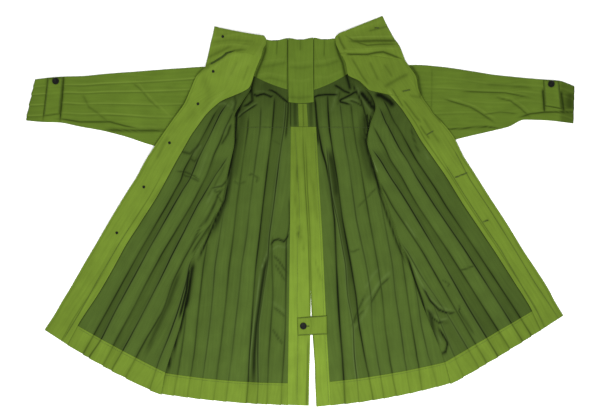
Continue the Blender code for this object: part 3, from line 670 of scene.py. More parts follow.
backRight = {
    "sections": [
        (8.2, 473, 94, 474, 0), (8.2, 444, 104, 444, 0), (8.2, 411, 126, 411, 0),
        (8.2, 378, 225, 378, 0), (8.2, 339, 234, 339, 0), (8.2, 301, 243, 301, 0),
        (8.4, 232, 258, 235, 0), (12.4, 169, 274, 169, 0), (16.4, 73, 283, 86, 0),
        (21.4, -10, 305, 4, 0), (25.4, -92, 330, -73, 2), (28.4, -175, 358, -156, 4),
        (31, -252, 382, -222, 6), (35, -340, 407, -304, 9), (41, -431, 429, -370, 10),
        (42, -472, 440, -404, 9), (45, -536, 434, -466, 11),
    ],
    "folds": [
        (0, 0, 2, 0, 1, 232, [(44, 232), (51, 100), (61, -65), (72, -312), (81, -472), (85, -532)]),
        (0.3, 0.8, 2.6, 0, 1.0, 312, [(41, 312), (45, 265), (50, 224), (60, 169), (72, 128), (84, 59),
            (95, -24), (100, -147), (104, -230), (109, -312), (116, -395), (121, -477), (124, -530)]),
        (flap, 0.5, 1.6, 0.45, 0.54, 170, [(63, 293), (69, 224), (74, 163), (80, 100), (88, 40),
            (104, -29), (111, -70), (125, -147), (130, -230), (146, -312), (149, -395), (158, -477),
            (162, -524)]),
        (0, 0.8, 2, 0, 1.03, 320, [(76, 320), (77, 279), (81, 224), (92, 152), (103, 86), (117, -24),
            (140, -147), (154, -230), (162, -312), (177, -395), (194, -477), (202, -519)]),
        (ridge, 0.42, 1.9, 0.12, 0.98, 295, [(110, 295), (117, 238), (124, 183), (133, 136), (155, -24),
            (182, -147), (195, -230), (199, -312), (211, -395), (225, -477), (231, -513)]),
        (0, 0.5, 1.9, 0, 1.0, 293, [(140, 293), (146, 238), (154, 183), (164, 136), (191, -24),
            (214, -147), (226, -230), (233, -312), (245, -395), (258, -477), (267, -506)]),
        (ridge, 0.42, 1.9, 0.12, 0.97, 75, [(214, 75), (231, -24), (254, -147), (262, -230),
            (275, -312), (286, -395), (298, -477), (304, -499)]),
        (0, 0.5, 1.9, 0, 1.0, -59, [(270, -59), (283, -147), (295, -230), (307, -312), (321, -395),
            (333, -477), (336, -491)]),
        (1.0, 0.4, 2, 0.1, 0.9, -189, [(314, -189), (324, -244), (333, -312), (352, -395), (377, -477)]),
    ],
    "creases": [
        (0, 0.75, 5, 0, [(122, 396), (128, 372), (134, 352), (140, 328)]),
        (-0.4, 0.95, 3.0, 0, [(33, 304), (41, 315), (50, 319), (69, 321), (110, 321)]),
        (-0.5, 0.95, 3.2, 0, [(91, 350), (110, 339), (121, 331), (143, 323)]),
        (-0.5, 0.95, 3.0, 0, [(165, 337), (140, 321), (124, 313), (110, 306), (111, 301), (124, 298),
            (146, 291)]),
        (-0.4, 0.65, 2.0, 0, [(135, 306), (157, 298), (173, 287)]),
        (0.8, -0.35, 2.6, 0, [(116, 305), (143, 310), (165, 301)]),
        (0.5, -0.25, 2, 0, [(110, 304), (129, 302), (148, 295)]),
        (0.7, -0.25, 3, 0, [(104, 342), (96, 309), (85, 271)]),
        (0, 0.35, 2.5, 0, [(110, 334), (107, 312), (104, 287)]),
        (-0.6, 0.75, 2.8, 0, [(138, 361), (154, 331), (168, 304), (176, 279), (182, 257), (187, 224)]),
        (1.1, -0.35, 3.2, 0, [(151, 350), (168, 317), (182, 293), (204, 265)]),
        (-1.2, 0.95, 7, 0, [(162, 334), (187, 304), (209, 273)]),
        (-0.6, 0.9, 3.4, 0, [(184, 273), (186, 221)]),
        (0, 0.7, 12, 0, [(186, 345), (200, 318), (208, 290), (204, 262)]),
        (0, 0.62, 8, 0, [(173, 295), (179, 238), (177, 202), (184, 169), (190, 141), (201, 108),
            (214, 64)]),
        (0, 0.92, 4.0, 0, [(204, 300), (190, 240), (181, 191), (192, 150), (199, 128), (216, 67),
            (232, 20)]),
        (0, 0.4, 14, 0, [(186, 300), (174, 240), (168, 191), (184, 128), (206, 60)]),
        (0, 0.7, 3.4, 0, [(203, 96), (218, 50), (239, -10), (264, -80), (296, -160)]),
        (0.4, 0.35, 2.4, 0, [(214, 70), (184, 37), (154, 7)]),
        (1.1, -0.3, 4, 0, [(258, -156), (220, -191), (195, -230), (168, -263)]),
        (-0.4, 0.5, 3.2, 0, [(253, -175), (223, -202), (198, -246), (190, -266)]),
        (0.9, -0.25, 4, 0, [(223, -150), (198, -178), (176, -219)]),
        (-0.4, 0.45, 3, 0, [(182, -222), (157, -277), (138, -326)]),
        (0.8, -0.25, 4, 0, [(195, -246), (176, -285), (143, -329)]),
        (-0.3, 0.4, 3, 0, [(143, -315), (154, -293), (179, -268)]),
        (-0.3, 0.35, 3, 0, [(124, -98), (143, -112), (168, -101)]),
        (-0.2, 0.25, 1.5, 0, [(33, 232), (50, 232), (192, 232)]),
        (0, 0.42, 6, 0, [(30, 315), (30, 265), (32, 221)]),
        (0, 0.75, 3.4, 0, [(43, 317), (44, 273), (47, 221), (52, 169)]),
        (0, 0.45, 9, 0, [(80, 169), (91, 128), (99, 73), (102, 31)]),
    ],
    "faceColumns": 11, "rowStep": [6] * 3 + [2.3] * 5 + [3.8] * 6 + [5] * 2, "borderRise": 0,
    "uneven": 0.3, "seed": 23, "loft": 0.5, "shadingFade": 0.85,
    "ventFromRow": 6, "yoke": (50, 192), "hemFrom": 0.14,
    "ventSeam": [(40, 215), (46, 100), (56, -65), (67, -312), (76, -472), (79, -525)],
    "hemStep": 1.3,
    "ventCreases": [
        (0, 0.45, 1.6, 0, [(13, 250), (20, 73), (27, -65), (31, -216), (36, -340), (42, -450),
            (46, -580)]),
        (0.4, 0.2, 3, 2, [(30, 100), (40, 30), (46, -40)]),
        (0.4, 0.18, 3, 2, [(34, -120), (50, -170), (60, -200)]),
    ],
}
# the backs and the fronts darken up towards the neck
neckShade = {"from": 200, "to": 380, "amount": 0.44}


def turnEdges(grid, edges):
    # edges: side, radius, tuck and, where it is more than 5, the number of steps round the turn
    for edge in edges:
        grid = turnUnder(grid, *edge)
    return grid


def looseness(panel, x, y, size=90):
    return np.abs(softLoft(x, y, panel["seed"], size, panel["loft"]))


def pleatedGrid(panel, rows, ends):
    # shares and length of each row, and the grid: x, y, height over what it lies on, painted shade, painted
    # highlight and painted light-and-shade tone
    at = foldShares(panel, rows, ends)
    shares = faceColumns(panel, at)
    x, y, spans = planAt(panel["sections"], rows, shares)
    y = y + hemSteps(panel, rows, at)
    dark, light, tone = foldMarks(panel, rows, at, shares, spans)
    lift, creaseShade, creaseHighlight = creaseField(x, y, panel["creases"])
    z = pleatRise(panel, rows, at, spans) + np.maximum(lift, -deepestCrease) + looseness(panel, x, y)
    tone = tone * (1 - neckShade["amount"] * smoothStep(y, neckShade["from"], neckShade["to"]))
    return shares, spans, (x, y, z, np.maximum(dark, creaseShade), np.maximum(light, creaseHighlight), tone)


def layHem(kind, side, grid, edges):
    # hem facing: the panel's own lowest rows, one layer up, pressed into the same pleats
    x, y, z, dark, light, tone = grid
    top = (x, y, z + layerStep)
    hemTops[kind + "_" + side] = top
    # weaker copies of the panel's painted shade and highlight, and its painted light-and-shade tone drawn
    # towards 0.97
    grid = turnEdges((*top, 0.6 * dark, 0.5 * light, 0.97 + 0.3 * (tone - 1)), edges)
    layCloth(kind + "_hem_" + side, grid, "facing", "hem_facing_" + kind + "_" + side, wall=0)


def layVentFacing(side, panel, rows, grid):
    # strip along the opening edge of the vent, folded under at its inner edge
    strip = rows >= panel["ventFromRow"]
    x, y, z = [part[strip][:, :panel["faceColumns"] + 1] for part in grid[:3]]
    lift, dark, light = creaseField(x, y, panel["ventCreases"])
    top = (x, y, z + layerStep + lift)
    hemTops["vent_" + side] = top
    # painted light: the strip is lighter towards the hem
    tone = 0.86 + 0.3 * (1 - smoothStep(y, -260, 230))
    edges = (("lastColumn", 0.4, 4), ("firstColumn", 0.45, 4), ("lastRow", 0.45, 4))
    layCloth("vent_facing_" + side, turnEdges((*top, dark, light, tone), edges), "facing",
             "vent_facing_" + side, wall=0)


def layBack(side, panel):
    rows = fineRows(panel["sections"], panel["rowStep"])
    shares, spans, grid = pleatedGrid(panel, rows, [np.ones(len(rows))])
    grid = (grid[0], grid[1], backTop + grid[2], *grid[3:])
    layCloth("back_panel_" + side, turnUnder(grid, "lastRow", 0.5, 8), "inside", "back_" + side)
    layVentFacing(side, panel, rows, grid)
    low = rows >= len(panel["sections"]) - 2
    hem = [part[low][:, panel["faceColumns"]:].copy() for part in grid]
    hem[0][:, :1] += np.sign(hem[0][:, 1:2] - hem[0][:, :1]) * 0.6     # kept clear of the vent facing
    layHem("back", side, hem, (("firstRow", 0.3, 3), ("lastRow", 0.45, 6)))
    return grid[:3]


backs = {"left": layBack("left", backLeft), "right": layBack("right", backRight)}
print("backs laid")


# Sections: side fold x, y, front edge x, y, bow, lift at the side, lift past it, facing's inner edge.
# Folds and creases as on the backs.
frontLeft = {
    "sections": [
        (-107, 425, -258, 398, -29, 9.0, 8.0, 0.00), (-124, 383, -283, 372, -8, 9.0, 8.0, 0.00),
        (-135, 342, -300, 334, 0, 9.0, 8.0, 0.02), (-162, 298, -316, 298, 0, 8.5, 8.0, 0.40),
        (-182, 257, -349, 251, 0, 8.0, 8.0, 0.51), (-182, 196, -385, 199, 0, 8.0, 8.0, 0.61),
        (-195, 128, -424, 139, 0, 6.5, 6.0, 0.64), (-204, 86, -448, 95, 0, 5.0, 3.5, 0.66),
        (-214, 31, -473, 56, 0, 4.2, 2.8, 0.676), (-258, -59, -520, -21, 0, 4.2, 2.8, 0.695),
        (-300, -142, -558, -87, 0, 4.2, 2.8, 0.715), (-311, -216, -591, -142, 0, 4.2, 0.8, 0.735),
        (-330, -312, -632, -213, 0, 4.2, 0.0, 0.765), (-352, -381, -654, -249, 2, 4.2, 0.0, 0.785),
        (-371, -442, -671, -279, 4, 4.2, 0.0, 0.798), (-382, -504, -701, -325, 9, 4.2, 0.0, 0.800),
    ],
    "folds": [
        (ridge, 0.7, 2, 0.3, 0.95, -139, [(-206, -79), (-302, -139), (-311, -189), (-334, -271),
            (-364, -354), (-382, -395), (-412, -486)]),
        (0, 0.55, 2.2, 0, 1.0, -57, [(-179, -10), (-275, -57), (-305, -106), (-348, -189), (-375, -271),
            (-425, -354), (-447, -395), (-481, -458)]),
        (flap, 0.75, 1.9, 0.3, 0.8, 141, [(-204, 141), (-214, 125), (-228, 106), (-245, 78), (-256, 59),
            (-281, 18), (-344, -106), (-385, -189), (-427, -271), (-471, -354), (-494, -395),
            (-528, -453)]),
        (0, 0.55, 2.2, 0, 1.03, 271, [(-184, 271), (-195, 249), (-206, 227), (-214, 205), (-223, 183),
            (-234, 161), (-245, 130), (-256, 100), (-267, 78), (-277, 59), (-298, 18), (-373, -106),
            (-419, -189), (-461, -271), (-506, -354), (-526, -395), (-556, -447)]),
        (ridge, 0.75, 1.9, 0.3, 0.74, 290, [(-204, 290), (-217, 271), (-231, 243), (-245, 213),
            (-256, 191), (-267, 169), (-278, 147), (-294, 108), (-302, 89), (-322, 59), (-346, 18),
            (-416, -106), (-461, -189), (-506, -271), (-547, -354), (-576, -395)]),
        (0, 0.65, 2, 0, 0.98, 273, [(-231, 273), (-250, 238), (-272, 196), (-294, 161), (-302, 144),
            (-319, 114), (-327, 86), (-343, 59), (-365, 18), (-438, -106), (-484, -189), (-529, -271),
            (-575, -354), (-600, -398)]),
    ],
    "creases": [
        (0, 0.45, 8, 0, [(-318, -139), (-336, -180), (-362, -255), (-400, -335), (-430, -409)]),
        (-0.3, 0.9, 4, 0, [(-301, -140), (-308, -180), (-312, -216), (-323, -262), (-335, -306)]),
        (-0.3, 0.55, 2.0, 0, [(-327, 108), (-314, 97), (-302, 95), (-292, 89), (-272, 79)]),
        (-0.6, 0.5, 4.4, 0, [(-341, 169), (-302, 158), (-283, 177), (-272, 196)]),
        (0.9, -0.25, 5, 0, [(-297, 147), (-286, 169), (-267, 185)]),
        (-0.5, 0.48, 3, 0, [(-344, 111), (-314, 108), (-289, 97), (-272, 78)]),
        (-0.6, 0.6, 3, 0, [(-206, 70), (-228, 40), (-242, 1), (-267, -46)]),
        (0.8, -0.25, 4, 0, [(-214, 84), (-239, 56), (-258, 15)]),
        (-0.4, 0.5, 3, 0, [(-190, 97), (-214, 70), (-250, 62)]),
        (-0.5, 0.55, 3, 0, [(-226, -13), (-253, -46), (-280, -87), (-302, -123)]),
        (-0.3, 0.4, 3, 0, [(-239, 59), (-228, 53), (-217, 59)]),
        (-0.5, 0.6, 3.4, 0, [(-187, 246), (-198, 213), (-220, 177)]),
        (0.8, -0.25, 4, 0, [(-195, 246), (-214, 207)]),
        (0, 0.4, 3.2, 0, [(-305, 147), (-289, 137), (-275, 150)]),
        (0.7, -0.3, 3.6, 0, [(-228, 293), (-209, 298), (-190, 287)]),
        (0, 0.75, 5, 0, [(-262, 272), (-242, 290), (-220, 304), (-195, 315), (-150, 335)]),
        (0, 0.5, 3.5, 0, [(-182, 328), (-176, 298), (-184, 268)]),
        (0.6, -0.25, 4, 0, [(-192, 306), (-182, 293), (-190, 279)]),
        (0.6, 0.5, 2.6, -3, [(-228, 15), (-253, -18), (-274, -50), (-297, -98), (-324, -150)]),
        (0.5, 0.35, 2.4, 3, [(-228, 15), (-239, -15), (-261, -59), (-280, -112), (-305, -156)]),
        (0.4, 0.45, 2.6, 3, [(-308, -205), (-330, -312), (-352, -381), (-374, -475)]),
        (0.5, 0.4, 2.2, 0, [(-239, 70), (-231, 56), (-223, 40), (-212, 18)]),
        (0.6, 0.3, 3, 4, [(-204, 141), (-220, 106), (-242, 67), (-264, 34)]),
        (0.4, -0.15, 5, 0, [(-253, 169), (-267, 128), (-286, 81)]),
    ],
    "facingCreases": [
        (-0.4, 0.13, 12, 0, [(-270, 383), (-253, 334), (-249, 315), (-258, 293), (-278, 257)]),
        (-1.2, 0.38, 4.4, 0, [(-275, 386), (-256, 400), (-234, 411), (-214, 422), (-198, 436),
            (-179, 442), (-157, 444), (-135, 442)]),
        (1.0, -0.22, 5, 0, [(-261, 381), (-231, 400), (-204, 422), (-176, 430), (-138, 430)]),
        (0, 0.3, 6, 0, [(-286, 372), (-264, 392), (-242, 400)]),
        (0.8, -0.3, 5, 0, [(-198, 339), (-236, 304), (-261, 273), (-294, 229)]),
        (0, 0.1, 14, 0, [(-275, 284), (-314, 251), (-341, 235), (-368, 207)]),
        (0.6, 0.16, 3.2, 3, [(-173, 416), (-182, 397), (-195, 370)]),
        (0.6, 0.16, 3.2, 3, [(-143, 405), (-151, 383), (-162, 356)]),
        (0, 0.18, 5, 0, [(-355, 213), (-377, 180), (-396, 136)]),
        (0.6, -0.2, 16, 0, [(-126, 427), (-170, 400), (-214, 361)]),
        (0, 0.4, 1.5, 0, [(-470, -46), (-500, -95), (-522, -131), (-550, -178), (-583, -238),
            (-610, -285), (-646, -345), (-670, -385)]),
        (0, 0.16, 6, 0, [(-368, 86), (-385, 59), (-412, 18)]),
        (0, 0.14, 8, 0, [(-495, -79), (-528, -139), (-556, -189)]),
    ],
    "faceColumns": 12, "rowStep": [3] * 3 + [2.5] * 6 + [4.4] * 6, "borderRise": 0.9, "uneven": 0.25,
    "seed": 31, "loft": 0.5,
    "shadingFade": 0, "holes": [],
    "placket": [
        [(-470, -46), (-500, -95), (-522, -131), (-550, -178), (-583, -238), (-610, -285), (-646, -345)],
    ],
    "hemStep": -2.4,
    "lineMm": 19, "facingShade": 0.95, "topShade": 0.03, "lowShade": 0.02,
}
frontRight = {
    "sections": [
        (113, 433, 287, 416, -8, 9.0, 5.4, 0.00), (126, 405, 300, 397, 0, 9.0, 5.4, 0.00),
        (132, 375, 319, 367, 0, 9.0, 5.4, 0.00), (160, 359, 324, 339, 0, 8.0, 5.4, 0.01),
        (184, 334, 341, 304, 0, 7.5, 5.4, 0.04), (187, 331, 343, 301, 0, 7.4, 5.4, 0.36),
        (201, 312, 355, 286, 0, 7.0, 5.4, 0.40),
        (209, 284, 366, 269, 0, 7.0, 5.4, 0.47), (195, 240, 388, 246, 0, 7.0, 5.4, 0.57),
        (187, 191, 421, 205, 0, 7.0, 5.4, 0.61), (206, 128, 448, 152, 0, 6.0, 4.0, 0.67),
        (223, 67, 478, 106, 0, 4.6, 1.0, 0.705), (250, -10, 522, 37, 0, 4.6, 0.0, 0.722),
        (278, -92, 572, -40, 0, 4.6, 0.0, 0.748), (305, -161, 616, -112, 0, 4.6, 0.0, 0.770),
        (330, -235, 660, -178, 0, 4.6, 0.0, 0.780), (360, -312, 685, -219, 0, 4.6, 0.0, 0.794),
        (399, -414, 696, -241, 0, 4.6, 0.0, 0.807), (415, -474, 723, -286, 4, 4.6, 0.0, 0.800),
    ],
    "folds": [
        (1.0, 0.35, 2, 0.2, 0.9, -238, [(275, -202), (358, -238), (372, -271), (405, -354), (426, -403),
            (451, -458)]),
        (ridge, 0.45, 2, 0.3, 1.0, -95, [(214, -62), (286, -95), (333, -178), (397, -271), (447, -354),
            (473, -398), (506, -453)]),
        (0, 0.6, 2, 0, 0.98, 70, [(223, 70), (234, 53), (251, 18), (334, -106), (428, -271),
            (476, -354), (503, -398), (528, -442)]),
        (flap, 0.8, 1.9, 0.3, 0.78, 163, [(204, 163), (220, 141), (236, 114), (253, 86), (272, 59),
            (298, 18), (372, -106), (466, -271), (517, -354), (564, -431)]),
        (0, 0.6, 1.9, 0, 1.03, 229, [(204, 229), (220, 199), (234, 174), (248, 141), (278, 97),
            (294, 67), (322, 18), (405, -106), (509, -271), (562, -354), (600, -414)]),
        (ridge, 0.8, 1.9, 0.25, 0.78, 279, [(220, 279), (234, 249), (248, 221), (275, 169), (294, 141),
            (319, 95), (349, 48), (368, 18), (453, -106), (558, -271), (610, -354), (638, -398)]),
        (0, 0.7, 1.9, 0, 0.85, 306, [(228, 306), (239, 287), (250, 262), (278, 216), (305, 166),
            (319, 141), (358, 84), (377, 56), (399, 18), (483, -106), (592, -271), (644, -354),
            (674, -395)]),
    ],
    "creases": [
        (-0.3, 0.4, 3.2, 0, [(302, 238), (311, 205), (319, 177), (333, 155)]),
        (0.6, -0.25, 2.6, 0, [(341, 169), (349, 152), (355, 139)]),
        (0.7, -0.45, 1.8, 0, [(286, -21), (302, -46), (322, -76)]),
        (0.6, -0.3, 1.8, 0, [(344, -123), (358, -145), (371, -169)]),
        (-0.3, 0.45, 2.2, 0, [(434, -164), (456, -158), (484, -147)]),
        (-0.8, 0.85, 3.2, 0, [(278, -87), (300, -139), (316, -189), (336, -246), (355, -318),
            (368, -367), (374, -414)]),
        (1.2, -0.4, 3, 0, [(300, -120), (323, -178), (355, -235), (381, -260), (406, -270), (440, -273)]),
        (-0.8, 0.8, 3.2, 0, [(333, -200), (358, -246), (381, -270), (404, -279), (437, -278)]),
        (-0.5, 0.7, 2.6, 0, [(344, -260), (360, -288), (381, -306), (412, -303)]),
        (1, -0.35, 2.4, 0, [(349, -257), (368, -285), (388, -297), (415, -293)]),
        (-0.8, 0.95, 3, 0, [(374, -312), (393, -340), (406, -362), (399, -387), (368, -407)]),
        (1, -0.3, 3, 0, [(363, -321), (382, -348), (393, -367)]),
        (0, 0.6, 9, 0, [(355, -262), (365, -324), (379, -385)]),
        (-0.4, 0.6, 2.2, 0, [(440, -249), (437, -274), (456, -304), (481, -345)]),
        (-0.3, 0.35, 2.2, 0, [(388, -186), (410, -200), (404, -211)]),
        (0.9, -0.95, 1.5, 0, [(196, 152), (204, 132), (215, 104)]),
        (0, 0.85, 9, 0, [(200, 322), (222, 318), (246, 302), (262, 284)]),
        (0, 0.3, 3, 0, [(270, 304), (292, 268), (319, 221)]),
    ],
    "facingCreases": [
        (0.8, -0.45, 3, 0, [(239, 339), (261, 306), (283, 273)]),
        (0, 0.36, 1.5, 0, [(360, 192), (404, 122), (448, 51), (498, -26), (550, -103), (605, -197),
            (668, -304), (690, -344)]),
        (0, 0.36, 1.5, 0, [(382, 232), (426, 163), (468, 86), (522, 4), (586, -98), (646, -197),
            (710, -293), (730, -330)]),
        (0, 0.55, 1.3, 0, [(278, 329), (307, 335)]), (0, 0.55, 1.3, 0, [(345, 209), (370, 223)]),
        (0, 0.55, 1.3, 0, [(420, 91), (465, 108)]), (0, 0.55, 1.3, 0, [(499, -31), (521, -22)]),
        (-0.3, 0.4, 2, 0, [(250, 342), (270, 309), (286, 282)]),
        (-0.4, 0.32, 3.4, 0, [(280, 312), (302, 282), (316, 262), (336, 240)]),
        (-0.3, 0.32, 3, 0, [(355, 287), (374, 262), (390, 238)]),
        (-0.3, 0.35, 3, 0, [(327, 240), (341, 218), (358, 196)]),
        (-0.4, 0.45, 2.6, 0, [(324, 361), (330, 328), (330, 306)]),
        (0.7, 0.3, 3, 3, [(135, 425), (154, 394), (170, 367), (190, 339)]),
        (0.6, 0.22, 3.6, 3, [(187, 414), (198, 389), (214, 353)]),
        (0.6, 0.22, 3.2, 3, [(226, 405), (239, 386), (253, 364)]),
        (-0.4, 0.28, 6, 0, [(226, 339), (275, 367), (305, 381)]),
        (0.5, 0.2, 5, 4, [(294, 315), (330, 309), (374, 298)]),
        (0.4, 0.2, 5, 4, [(330, 262), (358, 216), (385, 180)]),
    ],
    "faceColumns": 11, "rowStep": [3] * 4 + [1.0] + [2.5] * 6 + [4.4] * 7, "borderRise": 0.9,
    "uneven": 0.25, "seed": 43, "loft": 0.5,
    "shadingFade": 0,
    "holes": [((283, 330), (302, 334)), ((349, 211), (366, 221)), ((426, 93), (459, 106)), ((503, -29),
        (517, -24))],
    "placket": [
        [(404, 122), (448, 51), (498, -26), (550, -103), (605, -197), (668, -304)],
        [(426, 163), (468, 86), (522, 4), (586, -98), (646, -197), (710, -293)],
    ],
    "hemStep": -1.8,
    "lineMm": 12, "facingShade": 0.9, "topShade": -0.13, "lowShade": 0.1,
}


def frontHeight(panel, rows, shares):
    # high along the side fold, then an eased ramp down to what the front lies on
    s = sectionValues(panel["sections"], 5, 7, rows)
    ramp = 1 - smoothStep(shares, 0, 0.4)
    return s[:, 1:2] + (s[:, 0:1] - s[:, 1:2]) * ramp


def layFacing(side, panel, rows, inner):
    # from its inner edge to the opening edge, over the front: line of stitches and pressed edge sunk in, both
    # with painted shade
    across = np.linspace(0, 1, 62)[None, :]
    shares = inner + (1 - inner) * across
    x, y, spans = planAt(panel["sections"], rows, shares)
    reach = (1 - inner) * spans[:, None]
    lift, dark, light = creaseField(x, y, panel["facingCreases"])
    line = np.exp(-((across * reach - panel["lineMm"]) / 1.8) ** 2) * smoothStep(rows, 6, 8)[:, None]
    edge = np.exp(-(((1 - across) * reach - 5) / 1.6) ** 2)
    z = frontHeight(panel, rows, shares) + frontTop + looseness(panel, x, y) + layerStep + 0.15
    z = z + np.maximum(lift, -0.8) - 0.3 * line - 0.2 * edge
    dark = np.maximum(np.maximum(dark, 0.3 * line), 0.2 * edge)
    # painted light and shade over the facing: lighter towards the chest, with a change near the top
    tone = panel["facingShade"] + 0.07 * smoothStep(y, -320, 60) + panel["topShade"] * smoothStep(y, 160, 300)
    edges = (("lastColumn", 0.75, 6), ("firstColumn", 0.4, 4), ("lastRow", 0.5, 6))
    layCloth("front_facing_" + side, turnEdges((x, y, z, dark, light, tone), edges), "facing",
             "front_facing_" + side, wall=0)
    return x, y, z


def layFront(side, panel):
    sections = panel["sections"]
    rows = fineRows(sections, panel["rowStep"])
    inner = sectionValues(sections, 7, 8, rows)
    shares, spans, grid = pleatedGrid(panel, rows, [inner[:, 0], np.ones(len(rows))])
    x, y, z, dark, light, tone = grid
    z = z + frontHeight(panel, rows, shares) + frontTop
    # painted shadow close under the facing's edge, and painted shade towards the hem
    beside = 0.7 * np.exp(-((inner - shares) * spans[:, None] / 2.6) ** 2) * (shares <= inner)
    tone = tone * (1 - panel["lowShade"] * smoothStep(-y, 120, 330))
    grid = (x, y, z, np.maximum(dark, beside), light, tone)
    sideFold = 0.5 + 0.22 * sectionValues(sections, 5, 6, rows)[:, 0]
    edges = (("firstColumn", sideFold, 14, 8), ("lastRow", 0.5, 8), ("lastColumn", 0.4, 8))
    layCloth("front_panel_" + side, turnEdges(grid, edges), "inside", "front_" + side)
    facing = layFacing(side, panel, rows, inner)
    low = rows >= len(sections) - 2
    last = panel["faceColumns"] * (len(panel["folds"]) + 1) + 1
    hem = [part[low][:, :last] for part in grid]
    layHem("front", side, hem, (("firstRow", 0.3, 3), ("lastRow", 0.45, 6), ("firstColumn", 1.0, 8)))
    return facing


facings = {"left": layFront("left", frontLeft), "right": layFront("right", frontRight)}
print("fronts laid")


# Sections: roll x, y, tip x, y, bow, lift at the roll, lift at the tip.
collarLeft = {
    "sections": [
        (-101, 482.5, -234, 507, 1.5, 5.5, 2.7), (-94, 473, -237, 492, -1, 6.0, 2.8),
        (-95, 460, -243, 468, -4, 6.6, 3.0),
        (-102, 448, -250, 436, -12, 8.0, 4.5), (-109, 421, -260, 394, -29, 9.0, 8.0),
    ],
    "seed": 57, "loft": 0.6,
    "creases": [
        (-1.2, 0.38, 4.4, 0, [(-275, 386), (-256, 400), (-234, 411), (-214, 422), (-198, 436),
            (-179, 442), (-157, 444), (-135, 442)]),
        (1.0, -0.22, 5, 0, [(-261, 381), (-231, 400), (-204, 422), (-176, 430), (-138, 430)]),
        (0.9, -0.22, 4, 0, [(-256, 474), (-209, 482), (-143, 492)]),
        (0, 0.16, 4, 0, [(-253, 463), (-192, 471), (-116, 466)]),
        (0.9, -0.2, 4, 0, [(-256, 447), (-214, 458), (-182, 460), (-126, 452)]),
        (0.6, -0.12, 3, 0, [(-242, 496), (-187, 491), (-121, 477)]),
        (0, 0.25, 5, 0, [(-261, 419), (-220, 438), (-182, 458)]),
    ],
}
collarRight = {
    "sections": [
        (108, 489, 226, 536, 0, 5.5, 0.4), (98, 478, 241, 506, 0, 6.0, 0.6),
        (100, 462, 258, 475, 0, 7.0, 1.5), (107, 444, 272, 455, -3, 8.0, 3.0),
        (116, 426, 289, 412, -8, 9.0, 5.4),
    ],
    "seed": 61, "loft": 0.6,
    "creases": [
        (0.5, 0.35, 2.6, -3, [(182, 497), (220, 506), (250, 514)]),
        (0, 0.5, 1.3, 0, [(202, 504), (221, 504)]),
        (0.9, -0.35, 2.4, 0, [(118, 477), (165, 480), (206, 481), (272, 482)]),
        (-0.8, 0.5, 4.6, 0, [(124, 469), (165, 467), (206, 469), (280, 469)]),
        (-0.5, 0.45, 2.6, 0, [(116, 488), (143, 471), (165, 462), (184, 456), (220, 459), (280, 460)]),
        (0.9, -0.25, 3.4, 0, [(121, 447), (165, 445), (214, 449), (286, 448)]),
        (-1.0, 0.6, 3.6, 0, [(96, 435), (138, 431), (184, 431), (209, 436), (228, 438), (253, 429),
            (300, 408)]),
        (0.8, -0.25, 2.8, 0, [(104, 442), (151, 440), (198, 442), (248, 444)]),
        (0, 0.4, 3.4, 0, [(104, 486), (112, 464), (126, 440)]),
        (0.8, -0.2, 5, 0, [(138, 496), (182, 510), (231, 526)]),
    ],
}


def layCollarEnd(side, panel):
    rows = fineRows(panel["sections"], 1.8)
    shares = np.tile(np.linspace(0, 1, 90), (len(rows), 1))
    x, y, spans = planAt(panel["sections"], rows, shares)
    s = sectionValues(panel["sections"], 5, 7, rows)
    under = s[:, 0:1] + (s[:, 1:2] - s[:, 0:1]) * shares
    lift, dark, light = creaseField(x, y, panel["creases"])
    lowest = len(panel["sections"]) - 1
    settle = 0.35 * smoothStep(rows, lowest - 0.5, lowest)[:, None]
    z = under + 3.0 - settle + np.clip(lift, -1.5, 2) + looseness(panel, x, y, 60)
    # painted highlight in a band 7 mm from the roll
    light = np.maximum(light, np.exp(-((shares * spans[:, None] - 7) / 5) ** 2) * 0.2)
    # painted shade: the collar end is darker, and its tone meets the facing's at the lowest row, where the
    # same cloth runs on into the facing
    tone = 0.86 + 0.1 * smoothStep(rows, lowest - 0.9, lowest)[:, None] + 0 * x
    edges = (("firstColumn", 1.8, 12, 8), ("lastColumn", 1.0, 8), ("firstRow", 1.0, 8))
    layCloth("collar_end_" + side, turnEdges((x, y, z, dark, light, tone), edges), "facing", "collar_" + side)
    return x, y, z


collars = {"left": layCollarEnd("left", collarLeft), "right": layCollarEnd("right", collarRight)}
print("collar ends laid")


# Back neck: two facings, the box pleat between them and the strip below.
neckLeft = {
    "top": 2.5, "tone": 0.86, "columns": 46, "tuck": 5, "edges": ("lastColumn", "lastRow", "firstRow"),
    "scallop": (-66, 30, 4.5),     # centre, half width, depth
    "sections": [(-33, 476, -99, 471, 0), (-33, 438, -109, 438, 0), (-33, 398, -128, 404, 0),
        (-33, 335, -142, 381, 4)],
    "creases": [
        (0.7, -0.14, 5, 0, [(-132, 408), (-82, 416), (-28, 420)]),
        (0, 0.16, 5, 0, [(-129, 394), (-82, 400), (-28, 411)]),
        (0.6, -0.16, 4, 0, [(-135, 372), (-88, 381), (-28, 371)]),
        (0, 0.14, 4, 0, [(-124, 361), (-82, 367), (-28, 353)]),
        (-0.3, 0.35, 1.8, 0, [(-63, 482), (-63, 455), (-65, 425)]),
        (0, 0.6, 4.5, 0, [(-91, 469), (-96, 438), (-104, 414), (-118, 381), (-132, 334)]),
        (0, 0.75, 1.7, 0, [(-34, 499), (-34, 416), (-34, 306)]),
    ],
}
